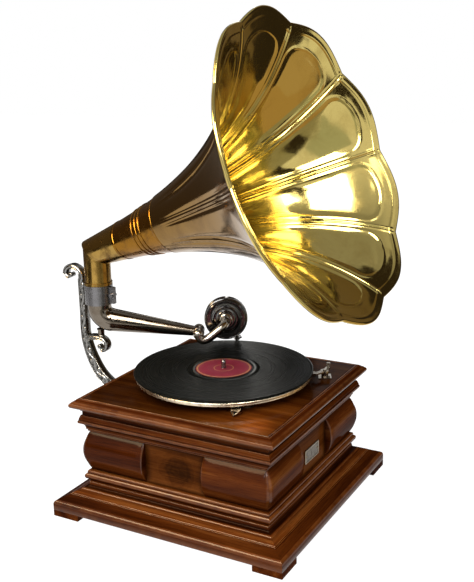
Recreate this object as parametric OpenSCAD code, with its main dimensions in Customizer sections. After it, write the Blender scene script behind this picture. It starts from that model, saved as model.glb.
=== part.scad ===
// Gramophone with a wind-up motor, a swinging tonearm and a petal horn, in millimetres.
// The origin is the middle of the case, on the surface it stands on. +Z is up and the front faces -Y.

/* [Case] */
// Width across the side panels
body_w = 268; // [262:1:300]
// Thickness of the side panels
panel_t = 12; // [8:0.5:14]
// Height of the feet
foot_h = 8; // [5:0.5:15]
// Length of each foot along its two sides
foot_l = 41; // [34:1:60]
// Height of the plinth
plinth_h = 35; // [30:1:45]
// How far the plinth stands out from the panels
plinth_reach = 40.4; // [36:0.2:46]
// Height of the lower moulding
lower_h = 18; // [15:1:22]
// Height of the panels that show between the mouldings
frieze_h = 57; // [52:1:75]
// How far the corner bolsters bulge from the panels
bolster_bulge = 11; // [6:0.5:14]
// Free width of a panel between its two bolsters
frieze_gap = 90; // [70:1:110]
// Height of the upper moulding
upper_h = 30; // [26:1:38]
// How far the upper moulding stands out from the panels
upper_reach = 12; // [10:0.5:15]
// Thickness of the top frame
top_t = 18; // [15:1:24]
// How far the top frame stands out from the panels
top_reach = 19.6; // [16:0.2:26]
// Thickness of the motor board
board_t = 12; // [9:0.5:14]
// Width of the top frame's border round the motor board
border_w = 13.9; // [12:0.1:18]
// Thickness of the bottom board
bottom_t = 8; // [6:0.5:12]
// Width of the square corner posts
post_w = 16; // [12:1:20]
// Width of the blank name plate
plate_w = 44; // [30:1:60]
// Height of the blank name plate
plate_h = 20; // [12:1:30]

/* [Turntable] */
// Diameter of the record
record_d = 250; // [240:1:254]
// Thickness of the record
record_t = 2.2; // [1.6:0.1:3]
// Diameter of the record's label
label_d = 78; // [70:1:90]
// Diameter of the spindle where the record sits
spindle_d = 7.2; // [6.8:0.1:7.6]
// Diameter of the platter
platter_d = 245; // [230:1:250]
// Height of the platter's rim
rim_h = 6; // [5:0.5:10]
// Gap between the motor board and the platter's rim
rim_gap = 9.5; // [8:0.5:14]
// Thickness of the felt mat
felt_t = 1.6; // [1:0.1:3]

/* [Arm and bracket] */
// Distance from the spindle to the tonearm's upright axis
pivot_y = 210; // [206:0.5:216]
// Height of the collar's lower edge above the motor board
collar_rise = 89; // [86:0.5:95]
// Length of the tonearm's upright tube below the collar
arm_stub = 6; // [1:0.5:9]
// Height of the collar
collar_h = 28.8; // [24:0.2:34]
// Bore of the collar
collar_bore = 39.2; // [38:0.1:40]
// Wall of the collar
collar_wall = 1.4; // [1.2:0.1:3]
// Thickness of the bracket
bracket_t = 12; // [9:0.5:15]
// Direction of the tonearm, measured from +X
arm_angle = -60.4; // [-62:0.1:-58]
// Distance from the upright axis to the gooseneck's hinge
arm_reach = 146; // [140:1:150]
// Radius of the tonearm where it leaves its elbow
arm_r_big = 17; // [15:0.2:18]
// Radius of the tonearm at its small end
arm_r_small = 7.2; // [6:0.2:8]
// Wall of the tonearm's tube
arm_wall = 1.4; // [1:0.1:2]
// Slope of the tonearm below the horizontal
arm_slope = 9.5; // [8:0.1:11]
// Diameter of the soundbox
soundbox_d = 65.5; // [58:0.5:68]
// Thickness of the soundbox
soundbox_t = 15; // [12:0.5:18]
// Diameter of the gooseneck's tube
goose_d = 13; // [10:0.5:14]

/* [Horn] */
// Length of the horn's axis from its elbow to its mouth
horn_l = 393.5; // [360:0.5:420]
// Radius of the mouth at the middle of a petal
mouth_r = 201; // [190:1:220]
// How far the rim is cut back along the sheet between two petals
petal_cut = 10.8; // [4:0.2:16]
// Number of petals
petals = 10; // [6:1:14]
// Slope of the horn's axis above the horizontal
horn_tilt = 21.5; // [18:0.1:30]
// Turn of the horn about its upright axis
horn_turn = -3.3; // [-20:0.1:20]
// Height of the elbow's mitre above the collar
elbow_rise = 49.7; // [46:0.1:64]
// Wall of the horn
horn_wall = 1; // [0.8:0.1:1.6]
// Length of the elbow's arm from its mitre
elbow_l = 58; // [50:1:66]
// Distance from the mitre to the start of the bell
bell_start = 149; // [135:1:160]

/* [Motor] */
// Gap between the motor board and the motor's top plate
motor_gap = 7; // [5:0.5:9]
// Thickness of the motor's plates
motor_plate_t = 4; // [3:0.5:5]
// Radius of the spring barrel
barrel_r = 41; // [36:0.5:42]
// Height of the spring barrel
barrel_h = 28; // [22:1:30]
// Module of the barrel's great wheel and its pinion
great_m = 1.5; // [1.4:0.05:1.6]
// Module of the intermediate wheel and the spindle's pinion
mid_m = 1.25; // [1.2:0.05:1.3]
// Normal module of the governor's worm and wheel
worm_m = 1.25; // [1.15:0.05:1.3]
// Normal module of the winding gears
wind_m = 1; // [0.9:0.05:1.1]
// Length of the crank's arm
crank_l = 60; // [45:1:64]
// Diameter of the crank's shaft
crank_d = 10; // [8:0.5:12]
// Diameter of the crank's handle
grip_d = 21; // [17:0.5:24]
// Length of the crank's handle
grip_l = 56; // [45:1:70]

/* [Hidden] */
$fn = 64;

// Clearances: a running fit, a seam between glued pieces, and the least gap between pieces that move
run_gap = 0.06;
seam = 0.1;
gap = 0.3;
// A length past the end of any cut
past = 1;

// Colours
wood = [0.32, 0.13, 0.06];
wood_light = [0.45, 0.2, 0.09];
brass = [0.8, 0.62, 0.25];
gold = [0.87, 0.68, 0.22];
nickel = [0.72, 0.7, 0.66];
steel = [0.55, 0.56, 0.58];

// Heights of the case's layers
z_plinth = foot_h;
z_lower = z_plinth + plinth_h;
z_frieze = z_lower + lower_h;
z_upper = z_frieze + frieze_h;
z_top = z_upper + upper_h;
z_board = z_top + top_t;
z_under = z_board - board_t;
// Half widths of the case
half = body_w / 2;
inner = half - panel_t;
board_half = half + top_reach - border_w;
frame_ledge = 12;

// Turntable
rim_z = z_board + rim_gap;
platter_top = rim_z + rim_h;
record_z = platter_top + felt_t;
record_top = record_z + record_t;
label_t = 0.2;
label_top = record_top + label_t;
hub_r = 14;
hub_drop = 10.5;
spindle_r = spindle_d / 2;
seat_r = spindle_r + 1.9;
shaft_r = 4.5;
rim_wall = 4;
rim_round = 1.6;
platter_t = 3;
spindle_free = 8;
// The free end is narrower than the part in the record, with a short cone between
pin_step = 0.35;
pin_r = spindle_r - run_gap - pin_step;
pin_z = label_top + 0.5 + pin_step;
hub_z = platter_top - hub_drop;

// Motor levels, from the motor board down
z_plate = z_under - motor_gap - motor_plate_t;
wheel_t = 4;
great_t = 6;
lay = 4;
wheel_z = z_plate - lay - wheel_t;
great_z = wheel_z - lay - great_t;
barrel_z = great_z - barrel_h;
wind_drop = 15;
wind_z = barrel_z - wind_drop;
wind_face = 12;
z_floor_plate = wind_z - 16 - motor_plate_t;
gov_z = barrel_z + 12;
worm_face = 6;

// Gear trains: teeth, centre distances and places
pinion_n = 14;
wheel_n = 60;
tooth_slack = 0.24;
press_angle = 20;
great_r = great_m * wheel_n / 2;
great_c = great_m * (wheel_n + pinion_n) / 2;
mid_c = mid_m * (wheel_n + pinion_n) / 2;
barrel_at = [60, 45];
barrel_dir = atan2(barrel_at[1], barrel_at[0]);
barrel_dist = norm(barrel_at);
mid_dir = barrel_dir + acos((mid_c * mid_c + barrel_dist * barrel_dist - great_c * great_c)
  / (2 * mid_c * barrel_dist));
mid_at = mid_c * [cos(mid_dir), sin(mid_dir)];
worm_n = 3;
gov_n = 36;
lead_angle = 16;
worm_r = worm_m * worm_n / sin(lead_angle) / 2;
gov_wheel_r = worm_m * gov_n / cos(lead_angle) / 2;
gov_x = -(worm_r + gov_wheel_r);
arbor_n = 20;
crank_n = 14;
arbor_gear_r = wind_m * arbor_n / cos(45) / 2;
crank_gear_r = wind_m * crank_n / cos(45) / 2;
crank_y = barrel_at[1] - arbor_gear_r - crank_gear_r;
arbor_r = 6;
mid_r = 4;
crank_r = crank_d / 2;
// Governor, along Y: its bearings, disc, collars and weights
gov_r = 3;
gov_ends = [-77, 18];
gov_bearing_t = 6;
// How far each bearing reaches from the shaft: outwards, inwards and below
bearing_out = 7;
bearing_in = 4.6;
bearing_low = 8;
disc_y = -62;
disc_r = 13;
disc_t = 2.5;
weight_y = -38;
weight_r = 5;
leaf_bow = 33;
leaf_t = 0.5;
collar_span = 36;
gov_collar_r = 6;
leaf_end = asin(collar_span / 2 / leaf_bow);
leaf_mid = gov_collar_r + seam + leaf_bow * (1 - cos(leaf_end));
worm_l = 15;
// Motor plates: a rectangle from low to high corner, pillars inset from its corners
plate_lo = [-54, -94];
plate_hi = [112, 98];
pillar_inset = 8;
pillar_r = 4.5;
pillar_tip = 2.5;
bolt_r = 2.5;
bolt_at = [[-42, -66], [-42, 70], [98, -44], [96, 40]];
// Speed lever and turntable brake on the motor board
speed_at = [-64, -70];
speed_r = 3;
speed_l = 38;
speed_dir = 186;
speed_plate_t = 1.2;
speed_plate_r = 12;
speed_lever_t = 2.4;
brake_dir = -63;
brake_out = 19;
brake_side = 12;
brake_h = 7;
brake_t = 3;
brake_tab = 9;
// The crank: its plane outside the plinth, and its pin
crank_x = half + plinth_reach + 4;
crank_arm_t = 8;
grip_pin_r = 4;
grip_cap_t = 3.5;
escutcheon_r = 17;
escutcheon_t = 4;

// Upright axis of the arm and the horn
collar_z = z_board + collar_rise;
collar_r = collar_bore / 2;
pipe_r = collar_r - run_gap;
collar_split = collar_z + 12.5;
horn_foot = collar_split + 0.6;
elbow_r = arm_r_big + 0.6;
elbow_bend = elbow_r + 3.4;
elbow_turn = 90 - arm_slope;
elbow_top = collar_z - arm_stub;
pipe_lap = 2;
stub_lap = 0.6;
tube_x = elbow_bend * (1 - cos(elbow_turn));
tube_z = elbow_top - elbow_bend * sin(elbow_turn);
hinge_z = tube_z - (arm_reach - tube_x) * tan(arm_slope);
hinge_r = 8.5;
hinge_half = 8;
journal_r = 5;
goose_r = goose_d / 2;
goose_side = -16;
socket_r = 2.5;
boss_r = 5;
// Needle: its tip is over the record's outer edge, and the soundbox stands above it
tip_z = record_top + gap;
box_r = soundbox_d / 2;
box_out = 41;
box_lift = 3.34;
box_at = [arm_reach + box_out, tip_z + box_r + box_lift];
box_back = 9;
box_front = box_back + soundbox_t;
box_mid = box_back + soundbox_t / 2 - 0.1;
needle_dir = -63;
needle_r = 0.9;
needle_end = (box_at[1] - tip_z) / -sin(needle_dir);
holder_r0 = box_r + 1;
holder_l = 5;
holder_w = 3.4;
// The stylus bar rocks on a pin at this distance from the holder's start
rock_off = 1.6;
rock_r = 1.1;
diaphragm_t = 0.6;
bar_t = 2.2;
bar_gap = 0.9;

// Horn
throat = 22.4;
flare_base = 11;
flare_rate = horn_l * 0.3748;
flare_end = flare_base + (throat - flare_base) * exp(horn_l / flare_rate);
mitre_z = collar_z + collar_h + elbow_rise;
mitre_turn = 90 - horn_tilt;
bead_h = 4;

// Radius of the horn at a distance t from its mitre, and the slope of its side there
function horn_r(t) = flare_base + (throat - flare_base) * exp(t / flare_rate)
  + (mouth_r - flare_end) * pow(t / horn_l, 10);
function horn_slope(t) = (horn_r(t + 0.01) - horn_r(t - 0.01)) / 0.02;
function arc(c, r, a0, a1, n = 6) =
  [for (i = [0 : n]) let (a = a0 + (a1 - a0) * i / n) c + r * [cos(a), sin(a)]];
// A point of a curve through control points, and that curve's points and left-hand normals
function mix3(p0, p1, p2, p3, s) = 0.5 * (2 * p1 + (p2 - p0) * s
  + (2 * p0 - 5 * p1 + 4 * p2 - p3) * s * s + (3 * p1 - p0 - 3 * p2 + p3) * s * s * s);
function curve(p, n = 5) = let (last = len(p) - 1) concat(
  [for (i = [0 : last - 1], k = [0 : n - 1])
    mix3(p[max(i - 1, 0)], p[i], p[i + 1], p[min(i + 2, last)], k / n)], [p[last]]);
function side_of(c, s) = [for (i = [0 : len(c) - 1])
  let (a = c[max(i - 1, 0)], b = c[min(i + 1, len(c) - 1)], d = [b[0] - a[0], b[1] - a[1]])
  [c[i][0], c[i][1]] + s * c[i][2] / 2 * [-d[1], d[0]] / norm(d)];
function back_to_front(v) = [for (i = [len(v) - 1 : -1 : 0]) v[i]];
// Involute gear outline: half a tooth's angle at radius r, then all teeth
function involute(a) = tan(a) * 180 / PI - a;
function tooth_half(r, pitch_r, base_r, n, slack) =
  let (at_pitch = acos(base_r / pitch_r))
  (PI * pitch_r / n - slack) / 2 / pitch_r * 180 / PI
    + involute(at_pitch) - involute(acos(min(1, base_r / r)));
function gear_points(n, pitch_r, m, angle, slack, steps = 2) =
  let (base_r = pitch_r * cos(angle), tip = pitch_r + 0.8 * m, root = pitch_r - 1.1 * m,
    low = max(base_r, root),
    rs = [for (i = [0 : steps]) low + (tip - low) * i / steps],
    hs = [for (r = rs) tooth_half(r, pitch_r, base_r, n, slack)])
  [for (k = [0 : n - 1]) let (a = 360 * k / n) each concat(
    root < low ? [root * [cos(a - hs[0]), sin(a - hs[0])]] : [],
    [for (i = [0 : steps]) rs[i] * [cos(a - hs[i]), sin(a - hs[i])]],
    [for (i = [steps : -1 : 0]) rs[i] * [cos(a + hs[i]), sin(a + hs[i])]],
    root < low ? [root * [cos(a + hs[0]), sin(a + hs[0])]] : [])];

module spur(n, m, h, turn = 0) {
  rotate([0, 0, turn])
    linear_extrude(h) polygon(gear_points(n, m * n / 2, m, press_angle, tooth_slack));
}
// Right-hand helical gear centred on its middle plane, where a tooth points along +X
module helical(n, m, helix, h, slices) {
  r = m * n / cos(helix) / 2;
  sweep = h * tan(helix) / r * 180 / PI;
  angle = atan(tan(press_angle) / cos(helix));
  translate([0, 0, -h / 2]) rotate([0, 0, -sweep / 2])
    linear_extrude(h, twist = -sweep, slices = slices)
      polygon(gear_points(n, r, m, angle, tooth_slack / cos(helix)));
}
module ring(r_out, r_in, h) {
  difference() {
    cylinder(h = h, r = r_out);
    translate([0, 0, -past]) cylinder(h = h + 2 * past, r = r_in);
  }
}
// A round bar or cone between two points
module rod(p, q, r1, r2) {
  v = q - p;
  translate(p) rotate([0, acos(v[2] / norm(v)), atan2(v[1], v[0])])
    cylinder(h = norm(v), r1 = r1, r2 = r2);
}
module four_sides() {
  for (a = [0 : 90 : 270]) rotate([0, 0, a]) children();
}
// A moulding along the front, its profile given as reach from the panel and height, mitred at both ends
module mitred(profile) {
  far = 2 * body_w;
  intersection() {
    rotate([90, 0, 90]) linear_extrude(far, center = true) polygon([for (p = profile) [-half - p[0], p[1]]]);
    linear_extrude(2 * z_board) polygon([[0, -seam], [-far, -far - seam], [far, -far - seam]]);
  }
}
module arm_frame() {
  translate([0, pivot_y, 0]) rotate([0, 0, arm_angle]) children();
}
module horn_frame() {
  translate([0, pivot_y, mitre_z]) rotate([mitre_turn, 0, horn_turn]) children();
}
module barrel_axis() {
  translate([barrel_at[0], barrel_at[1], 0]) children();
}
module crank_axis() {
  translate([0, crank_y, wind_z]) rotate([0, 90, 0]) children();
}
module governor_axis() {
  translate([gov_x, 0, gov_z]) rotate([-90, 0, 0]) children();
}

// Case
function plinth_profile() = concat(
  [[0, z_plinth], [plinth_reach, z_plinth], [plinth_reach, z_plinth + 10]],
  arc([plinth_reach - 5, z_plinth + 10], 5, 0, 70, 4),
  arc([plinth_reach - 3, z_lower - 8], 11, 245, 185, 5),
  [[plinth_reach - 18, z_lower - 9], [plinth_reach - 18, z_lower - 6], [10, z_lower - 1], [6, z_lower],
    [0, z_lower]]);
function lower_profile() = concat(
  [[0, z_lower], [5, z_lower], [5, z_lower + 3]],
  arc([4, z_lower + lower_h / 2], 4.6, -70, 70),
  [[4, z_frieze - 3], [3.4, z_frieze], [0, z_frieze]]);
function upper_profile() = concat(
  [[0, z_upper], [3.5, z_upper], [3.5, z_upper + 4]],
  arc([4.5, z_upper + 9.5], 4.7, -70, 70),
  [[5, z_upper + 15.5]],
  arc([upper_reach + 0.5, z_upper + 15.5], 6, 170, 100, 4),
  [[upper_reach, z_upper + 21.5], [upper_reach, z_upper + 24.5], [7, z_top - 2], [7, z_top], [0, z_top]]);
function top_profile() = concat(
  [[board_half - half - frame_ledge, z_top], [9, z_top], [top_reach - 4, z_top + 2]],
  arc([top_reach - 5, z_top + top_t / 2], 5, -60, 35, 5),
  [[top_reach - 4, z_board - 4], [top_reach - 5.5, z_board - 1.5], [top_reach - 8, z_board],
    [board_half - half + seam, z_board], [board_half - half + seam, z_under],
    [board_half - half - frame_ledge, z_under]]);
function bolster_profile() =
  let (r = (frieze_h * frieze_h / 4 + bolster_bulge * bolster_bulge) / (2 * bolster_bulge),
    a = asin(frieze_h / 2 / r))
  arc([bolster_bulge - r, z_frieze + frieze_h / 2], r, -a, a, 14);

module plinth_rails() { color(wood) four_sides() mitred(plinth_profile()); }
module feet() {
  color(wood) four_sides() translate([-half - plinth_reach, -half - plinth_reach, 0])
    cube([foot_l, foot_l, foot_h]);
}
module bottom_board() {
  w = 2 * (inner - seam);
  color(wood_light) difference() {
    translate([-w / 2, -w / 2, z_plinth]) cube([w, w, bottom_t]);
    screw_places() translate([0, 0, z_plinth - past]) cylinder(h = bottom_t + 2 * past, r = 2);
  }
}
screw_grip = 16;
module screw_places() {
  d = inner - post_w / 2 - seam;
  for (x = [-d, d], y = [-d, d]) translate([x, y, 0]) children();
}
module bottom_screws() {
  color(steel) screw_places() {
    translate([0, 0, z_plinth - 2.4]) cylinder(h = 2.4, r = 4);
    translate([0, 0, z_plinth - 1]) cylinder(h = bottom_t + screw_grip, r = 1.8);
  }
}
module corner_posts() {
  color(wood_light) difference() {
    screw_places() translate([-post_w / 2, -post_w / 2, z_plinth + bottom_t])
      cube([post_w, post_w, z_top - z_plinth - bottom_t]);
    screw_places() translate([0, 0, z_plinth]) cylinder(h = bottom_t + screw_grip, r = 1.9);
  }
}
module panel(w) {
  translate([-w / 2, -half, z_plinth]) cube([w, panel_t, z_top - z_plinth]);
}
module front_panel() { color(wood_light) panel(body_w); }
module back_panel() {
  color(wood_light) difference() {
    rotate([0, 0, 180]) panel(body_w);
    bracket_holes() cylinder(h = panel_t + past, r = screw_r + seam);
  }
}
module left_panel() { color(wood_light) rotate([0, 0, -90]) panel(2 * (inner - seam)); }
module right_panel() {
  color(wood_light) difference() {
    rotate([0, 0, 90]) panel(2 * (inner - seam));
    crank_axis() translate([0, 0, inner - past]) cylinder(h = panel_t + 2 * past, r = crank_r + 3);
  }
}
module corner_bolsters() {
  far = body_w;
  color(wood) four_sides() intersection() {
    mitred(bolster_profile());
    union() for (s = [-1, 1]) translate([s * (frieze_gap / 2 + far / 2), -half, z_frieze + frieze_h / 2])
      cube([far, far, far], center = true);
  }
}
module lower_mouldings() { color(wood) four_sides() mitred(lower_profile()); }
module upper_mouldings() { color(wood) four_sides() mitred(upper_profile()); }
module top_frame() { color(wood) four_sides() mitred(top_profile()); }
module motor_board() {
  color(wood) difference() {
    translate([-board_half, -board_half, z_under]) cube([2 * board_half, 2 * board_half, board_t]);
    translate([0, 0, z_under - past]) cylinder(h = board_t + 2 * past, r = shaft_r + 5);
    bolt_places() translate([0, 0, z_under - past]) cylinder(h = board_t + 2 * past, r = bolt_r + seam);
    translate([speed_at[0], speed_at[1], z_under - past])
      cylinder(h = board_t + 2 * past, r = speed_r + gap);
  }
}
module name_plate() {
  color(brass) translate([0, -half, z_frieze + frieze_h / 2 - 4]) rotate([90, 0, 0]) {
    translate([-plate_w / 2, -plate_h / 2, 0]) cube([plate_w, plate_h, 1.2]);
    for (s = [-1, 1]) translate([s * (plate_w / 2 - 3), 0, 0]) cylinder(h = 1.8, r = 1.2);
  }
}
module crank_escutcheon() {
  color(nickel) crank_axis() translate([0, 0, half]) difference() {
    union() {
      cylinder(h = escutcheon_t, r1 = escutcheon_r, r2 = escutcheon_r - 1.5);
      cylinder(h = escutcheon_t + 3, r = crank_r + 3.5);
    }
    translate([0, 0, -past]) cylinder(h = escutcheon_t + 3 + 2 * past, r = crank_r + run_gap);
  }
}

// Bracket: strips of varying width along curves in the plane x = 0, given as [y, z, width]
screw_r = 2.4;
flange_w = 46;
flange_h = 46;
flange_t = 6;
flange_z = z_frieze + frieze_h / 2;
stem_y = pivot_y + collar_r + collar_wall + 7;
stem_top = elbow_top + 40.5;
branch_z = elbow_top - elbow_bend - elbow_r - 6;
stem_w = 12;
stem_run = stem_y - half;
function stem_curve() = curve([
  [stem_y, stem_top, stem_w], [stem_y, elbow_top + 18.5, stem_w], [stem_y, elbow_top - 11.5, stem_w],
  [stem_y + 0.5, elbow_top - 41.5, stem_w], [stem_y - 3, elbow_top - 62.5, 14],
  [stem_y - 11, elbow_top - 83.5, 16],
  [half + 0.77 * stem_run, z_upper + 26, 18], [half + 0.594 * stem_run, z_upper + 10, 20],
  [half + 0.384 * stem_run, z_upper - 3, 21], [half + 0.192 * stem_run, flange_z + 16, 24],
  [half + flange_t - 1, flange_z + 10.7, 27]]);
function scroll_curve() = curve([
  [stem_y, stem_top - 6, 12], [stem_y + 0.5, stem_top + 6, 9], [stem_y + 6, stem_top + 14, 8],
  [stem_y + 16, stem_top + 17.5, 8], [stem_y + 26, stem_top + 14, 8], [stem_y + 30, stem_top + 6, 7],
  [stem_y + 25, stem_top + 1, 6], [stem_y + 20, stem_top + 4, 4]]);
function branch_curve() = curve([
  [stem_y - 1, branch_z - 12, 10], [stem_y - 9, branch_z - 5, 9], [pivot_y + 6, branch_z - 3.5, 8],
  [pivot_y - 4, branch_z - 5, 8], [pivot_y - 10, branch_z - 11, 8], [pivot_y - 9, branch_z - 19, 7],
  [pivot_y - 2, branch_z - 22, 6], [pivot_y + 2, branch_z - 17, 4]]);
module strip(c) {
  rotate([90, 0, 90]) linear_extrude(bracket_t, center = true)
    polygon(concat(side_of(c, 1), back_to_front(side_of(c, -1))));
}
module bracket_holes() {
  for (x = [-1, 1], z = [-1, 1])
    translate([x * (flange_w / 2 - 6), half + past, flange_z + z * (flange_h / 2 - 6)])
      rotate([90, 0, 0]) children();
}
module bracket() {
  color(nickel) difference() {
    union() {
      strip(stem_curve());
      strip(scroll_curve());
      strip(branch_curve());
      translate([-flange_w / 2, half, flange_z - flange_h / 2]) cube([flange_w, flange_t, flange_h]);
      translate([0, pivot_y, branch_z - 3]) cylinder(h = 9.5, r = socket_r - run_gap);
      translate([0, pivot_y, branch_z - 4]) cylinder(h = 5, r = boss_r);
    }
    bracket_holes() translate([0, 0, -flange_t - 2 * past])
      cylinder(h = flange_t + 4 * past, r = screw_r + seam);
  }
}
module bracket_screws() {
  color(steel) bracket_holes() {
    translate([0, 0, past - flange_t - 2.6]) cylinder(h = 2.6, r = 4.2);
    translate([0, 0, past - flange_t - past]) cylinder(h = flange_t + panel_t, r = screw_r);
  }
}
module arm_collar() {
  out = collar_r + collar_wall;
  color(steel) translate([0, pivot_y, collar_z]) difference() {
    union() {
      cylinder(h = collar_h, r = out);
      translate([-bracket_t / 2, 0, 2]) cube([bracket_t, stem_y - stem_w / 2 - gap - pivot_y, collar_h - 4]);
      translate([-3, -out - 8, 2]) cube([6, out + 8, collar_h - 4]);
      translate([-6, -out - 4, collar_h / 2]) rotate([0, 90, 0]) cylinder(h = 12, r = 3);
    }
    translate([0, 0, -past]) cylinder(h = collar_h + 2 * past, r = collar_r);
  }
}

// Board fittings
module brake_frame() {
  rotate([0, 0, brake_dir]) translate([platter_d / 2 + brake_out, brake_side, z_board]) children();
}
module brake_base() {
  color(nickel) brake_frame() {
    translate([-9, -9, 0]) cube([18, 18, 1.6]);
    cylinder(h = brake_h, r = 5);
    cylinder(h = brake_h + gap + brake_t + 1.5, r = 2.5);
  }
}
module brake_lever() {
  reach = brake_out - 4 - gap;
  color(nickel) brake_frame() translate([0, 0, brake_h + gap]) difference() {
    union() {
      cylinder(h = brake_t, r = 6);
      translate([0, 0, gap]) rod_bar([0, 0], [-reach, -brake_side], 7, brake_t - 2 * gap);
      translate([-reach - 4, -brake_side - 5, -1]) cube([5, 10, rim_h - 1]);
      translate([0, 0, gap]) rod_bar([0, 0], [6, 15], 6, brake_t - 2 * gap);
      translate([3.5, 13.5, 2 * gap]) cube([5, 3, brake_tab - 2 * gap]);
    }
    translate([0, 0, -past]) cylinder(h = brake_t + 2 * past, r = 2.5 + run_gap);
  }
}
// A flat bar with square ends between two points of the plane
module rod_bar(p, q, w, h) {
  v = q - p;
  translate([p[0], p[1], 0]) rotate([0, 0, atan2(v[1], v[0])])
    translate([0, -w / 2, 0]) cube([norm(v), w, h]);
}
module speed_plate() {
  color(brass) translate([speed_at[0], speed_at[1], z_board])
    ring(speed_plate_r, speed_r + run_gap, speed_plate_t);
}
module speed_lever() {
  z = z_board + speed_plate_t + gap;
  color(nickel) translate([speed_at[0], speed_at[1], 0]) {
    translate([0, 0, gov_z - 4]) cylinder(h = z - gov_z + 4 + speed_lever_t, r = speed_r);
    translate([0, 0, z]) cylinder(h = speed_lever_t, r = 6);
    rotate([0, 0, speed_dir]) translate([0, 0, z]) {
      rod_bar([0, 0], [speed_l - 7, 0], 5, speed_lever_t);
      translate([speed_l - 7, 0, 0]) cylinder(h = speed_lever_t, r = 6.5);
      linear_extrude(speed_lever_t) polygon([[speed_l - 6, -6.4], [speed_l - 6, 6.4], [speed_l + 7, 0]]);
    }
  }
}
module governor_brake() {
  tip = [gov_x - 8 - speed_at[0], disc_y - disc_t / 2 - 2 - gap - speed_at[1]];
  color(steel) translate([speed_at[0], speed_at[1], gov_z - 3]) difference() {
    union() {
      cylinder(h = 6, r = 6);
      rod_bar([0, 0], tip, 4, 6);
      translate([tip[0] - 4, tip[1] - 2, 0]) cube([8, 4, 6]);
    }
    translate([0, 0, -past]) cylinder(h = 6 + 2 * past, r = speed_r + run_gap);
  }
}

// Motor frame
module bolt_places() {
  for (p = bolt_at) translate([p[0], p[1], 0]) children();
}
module pillar_places() {
  for (x = [plate_lo[0] + pillar_inset, plate_hi[0] - pillar_inset],
      y = [plate_lo[1] + pillar_inset, plate_hi[1] - pillar_inset]) translate([x, y, 0]) children();
}
module plate_blank(z) {
  difference() {
    translate([plate_lo[0], plate_lo[1], z])
      cube([plate_hi[0] - plate_lo[0], plate_hi[1] - plate_lo[1], motor_plate_t]);
    pillar_places() translate([0, 0, z - past]) cylinder(h = motor_plate_t + 2 * past, r = pillar_tip + seam);
    translate([0, 0, z - past]) cylinder(h = motor_plate_t + 2 * past, r = shaft_r + run_gap);
    translate([mid_at[0], mid_at[1], z - past]) cylinder(h = motor_plate_t + 2 * past, r = mid_r + run_gap);
    barrel_axis() translate([0, 0, z - past]) cylinder(h = motor_plate_t + 2 * past, r = arbor_r + run_gap);
  }
}
module motor_top_plate() {
  color(steel) difference() {
    plate_blank(z_plate);
    bolt_places() translate([0, 0, z_plate - past]) cylinder(h = motor_plate_t + 2 * past, r = bolt_r + seam);
  }
}
crank_post_off = 24;
crank_post_t = 8;
crank_post_w = 18;
crank_post_x = barrel_at[0] - crank_post_off;
module motor_bottom_plate() {
  top = z_floor_plate + motor_plate_t;
  color(steel) {
    plate_blank(z_floor_plate);
    difference() {
      translate([crank_post_x, crank_y - crank_post_w / 2, top - seam])
        cube([crank_post_t, crank_post_w, wind_z - top + crank_post_w / 2]);
      crank_axis() translate([0, 0, crank_post_x - past])
        cylinder(h = crank_post_t + 2 * past, r = crank_r + run_gap);
    }
    translate([pawl_at[0], pawl_at[1], top - seam])
      cylinder(h = ratchet_z + ratchet_t - top + seam, r = pawl_r);
  }
}
module motor_pillars() {
  low = z_floor_plate + motor_plate_t;
  color(nickel) pillar_places() {
    translate([0, 0, low]) cylinder(h = z_plate - low, r = pillar_r);
    translate([0, 0, z_floor_plate]) cylinder(h = z_plate + motor_plate_t - z_floor_plate, r = pillar_tip);
  }
}
module motor_bolts() {
  color(steel) bolt_places() {
    translate([0, 0, z_board]) cylinder(h = 3, r = 5.5);
    translate([0, 0, z_plate - 3]) cylinder(h = z_board - z_plate + 4, r = bolt_r);
    translate([0, 0, z_plate + motor_plate_t]) cylinder(h = motor_gap, r = 7);
    translate([0, 0, z_plate - 3]) cylinder(h = 3, r = 5, $fn = 6);
  }
}
module governor_bearings() {
  color(brass) difference() {
    for (y = gov_ends) translate([gov_x - bearing_out, y - gov_bearing_t / 2, gov_z - bearing_low])
      cube([bearing_out + bearing_in, gov_bearing_t, z_plate - gov_z + bearing_low]);
    governor_axis() translate([0, 0, gov_ends[0] - gov_bearing_t])
      cylinder(h = gov_ends[1] - gov_ends[0] + 2 * gov_bearing_t, r = gov_r + run_gap);
  }
}

// Turntable and its shaft
module spindle() {
  color(steel) {
    translate([0, 0, z_floor_plate]) cylinder(h = hub_z - 2.5 - z_floor_plate, r = shaft_r);
    translate([0, 0, hub_z - 2.5]) cylinder(h = 2.5, r = hub_r - 5);
    translate([0, 0, hub_z]) cylinder(h = platter_top - hub_z, r = seat_r);
    translate([0, 0, platter_top]) cylinder(h = pin_z - pin_step - platter_top, r = spindle_r - run_gap);
    translate([0, 0, pin_z - pin_step]) cylinder(h = pin_step, r1 = spindle_r - run_gap, r2 = pin_r);
    translate([0, 0, pin_z]) cylinder(h = spindle_free, r = pin_r);
    translate([0, 0, pin_z + spindle_free]) sphere(r = pin_r);
    translate([0, 0, wheel_z - 1]) spur(pinion_n, mid_m, wheel_t + 2, mid_dir);
  }
}
module governor_wheel() {
  color(brass) translate([0, 0, gov_z]) difference() {
    union() {
      rotate([0, 0, 180]) helical(gov_n, worm_m, lead_angle, worm_face, 3);
      translate([0, 0, -worm_face / 2 - 4]) cylinder(h = worm_face + 8, r = 9);
    }
    translate([0, 0, -worm_face / 2 - 4 - past])
      cylinder(h = worm_face + 8 + 2 * past, r = shaft_r + run_gap);
  }
}
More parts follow.
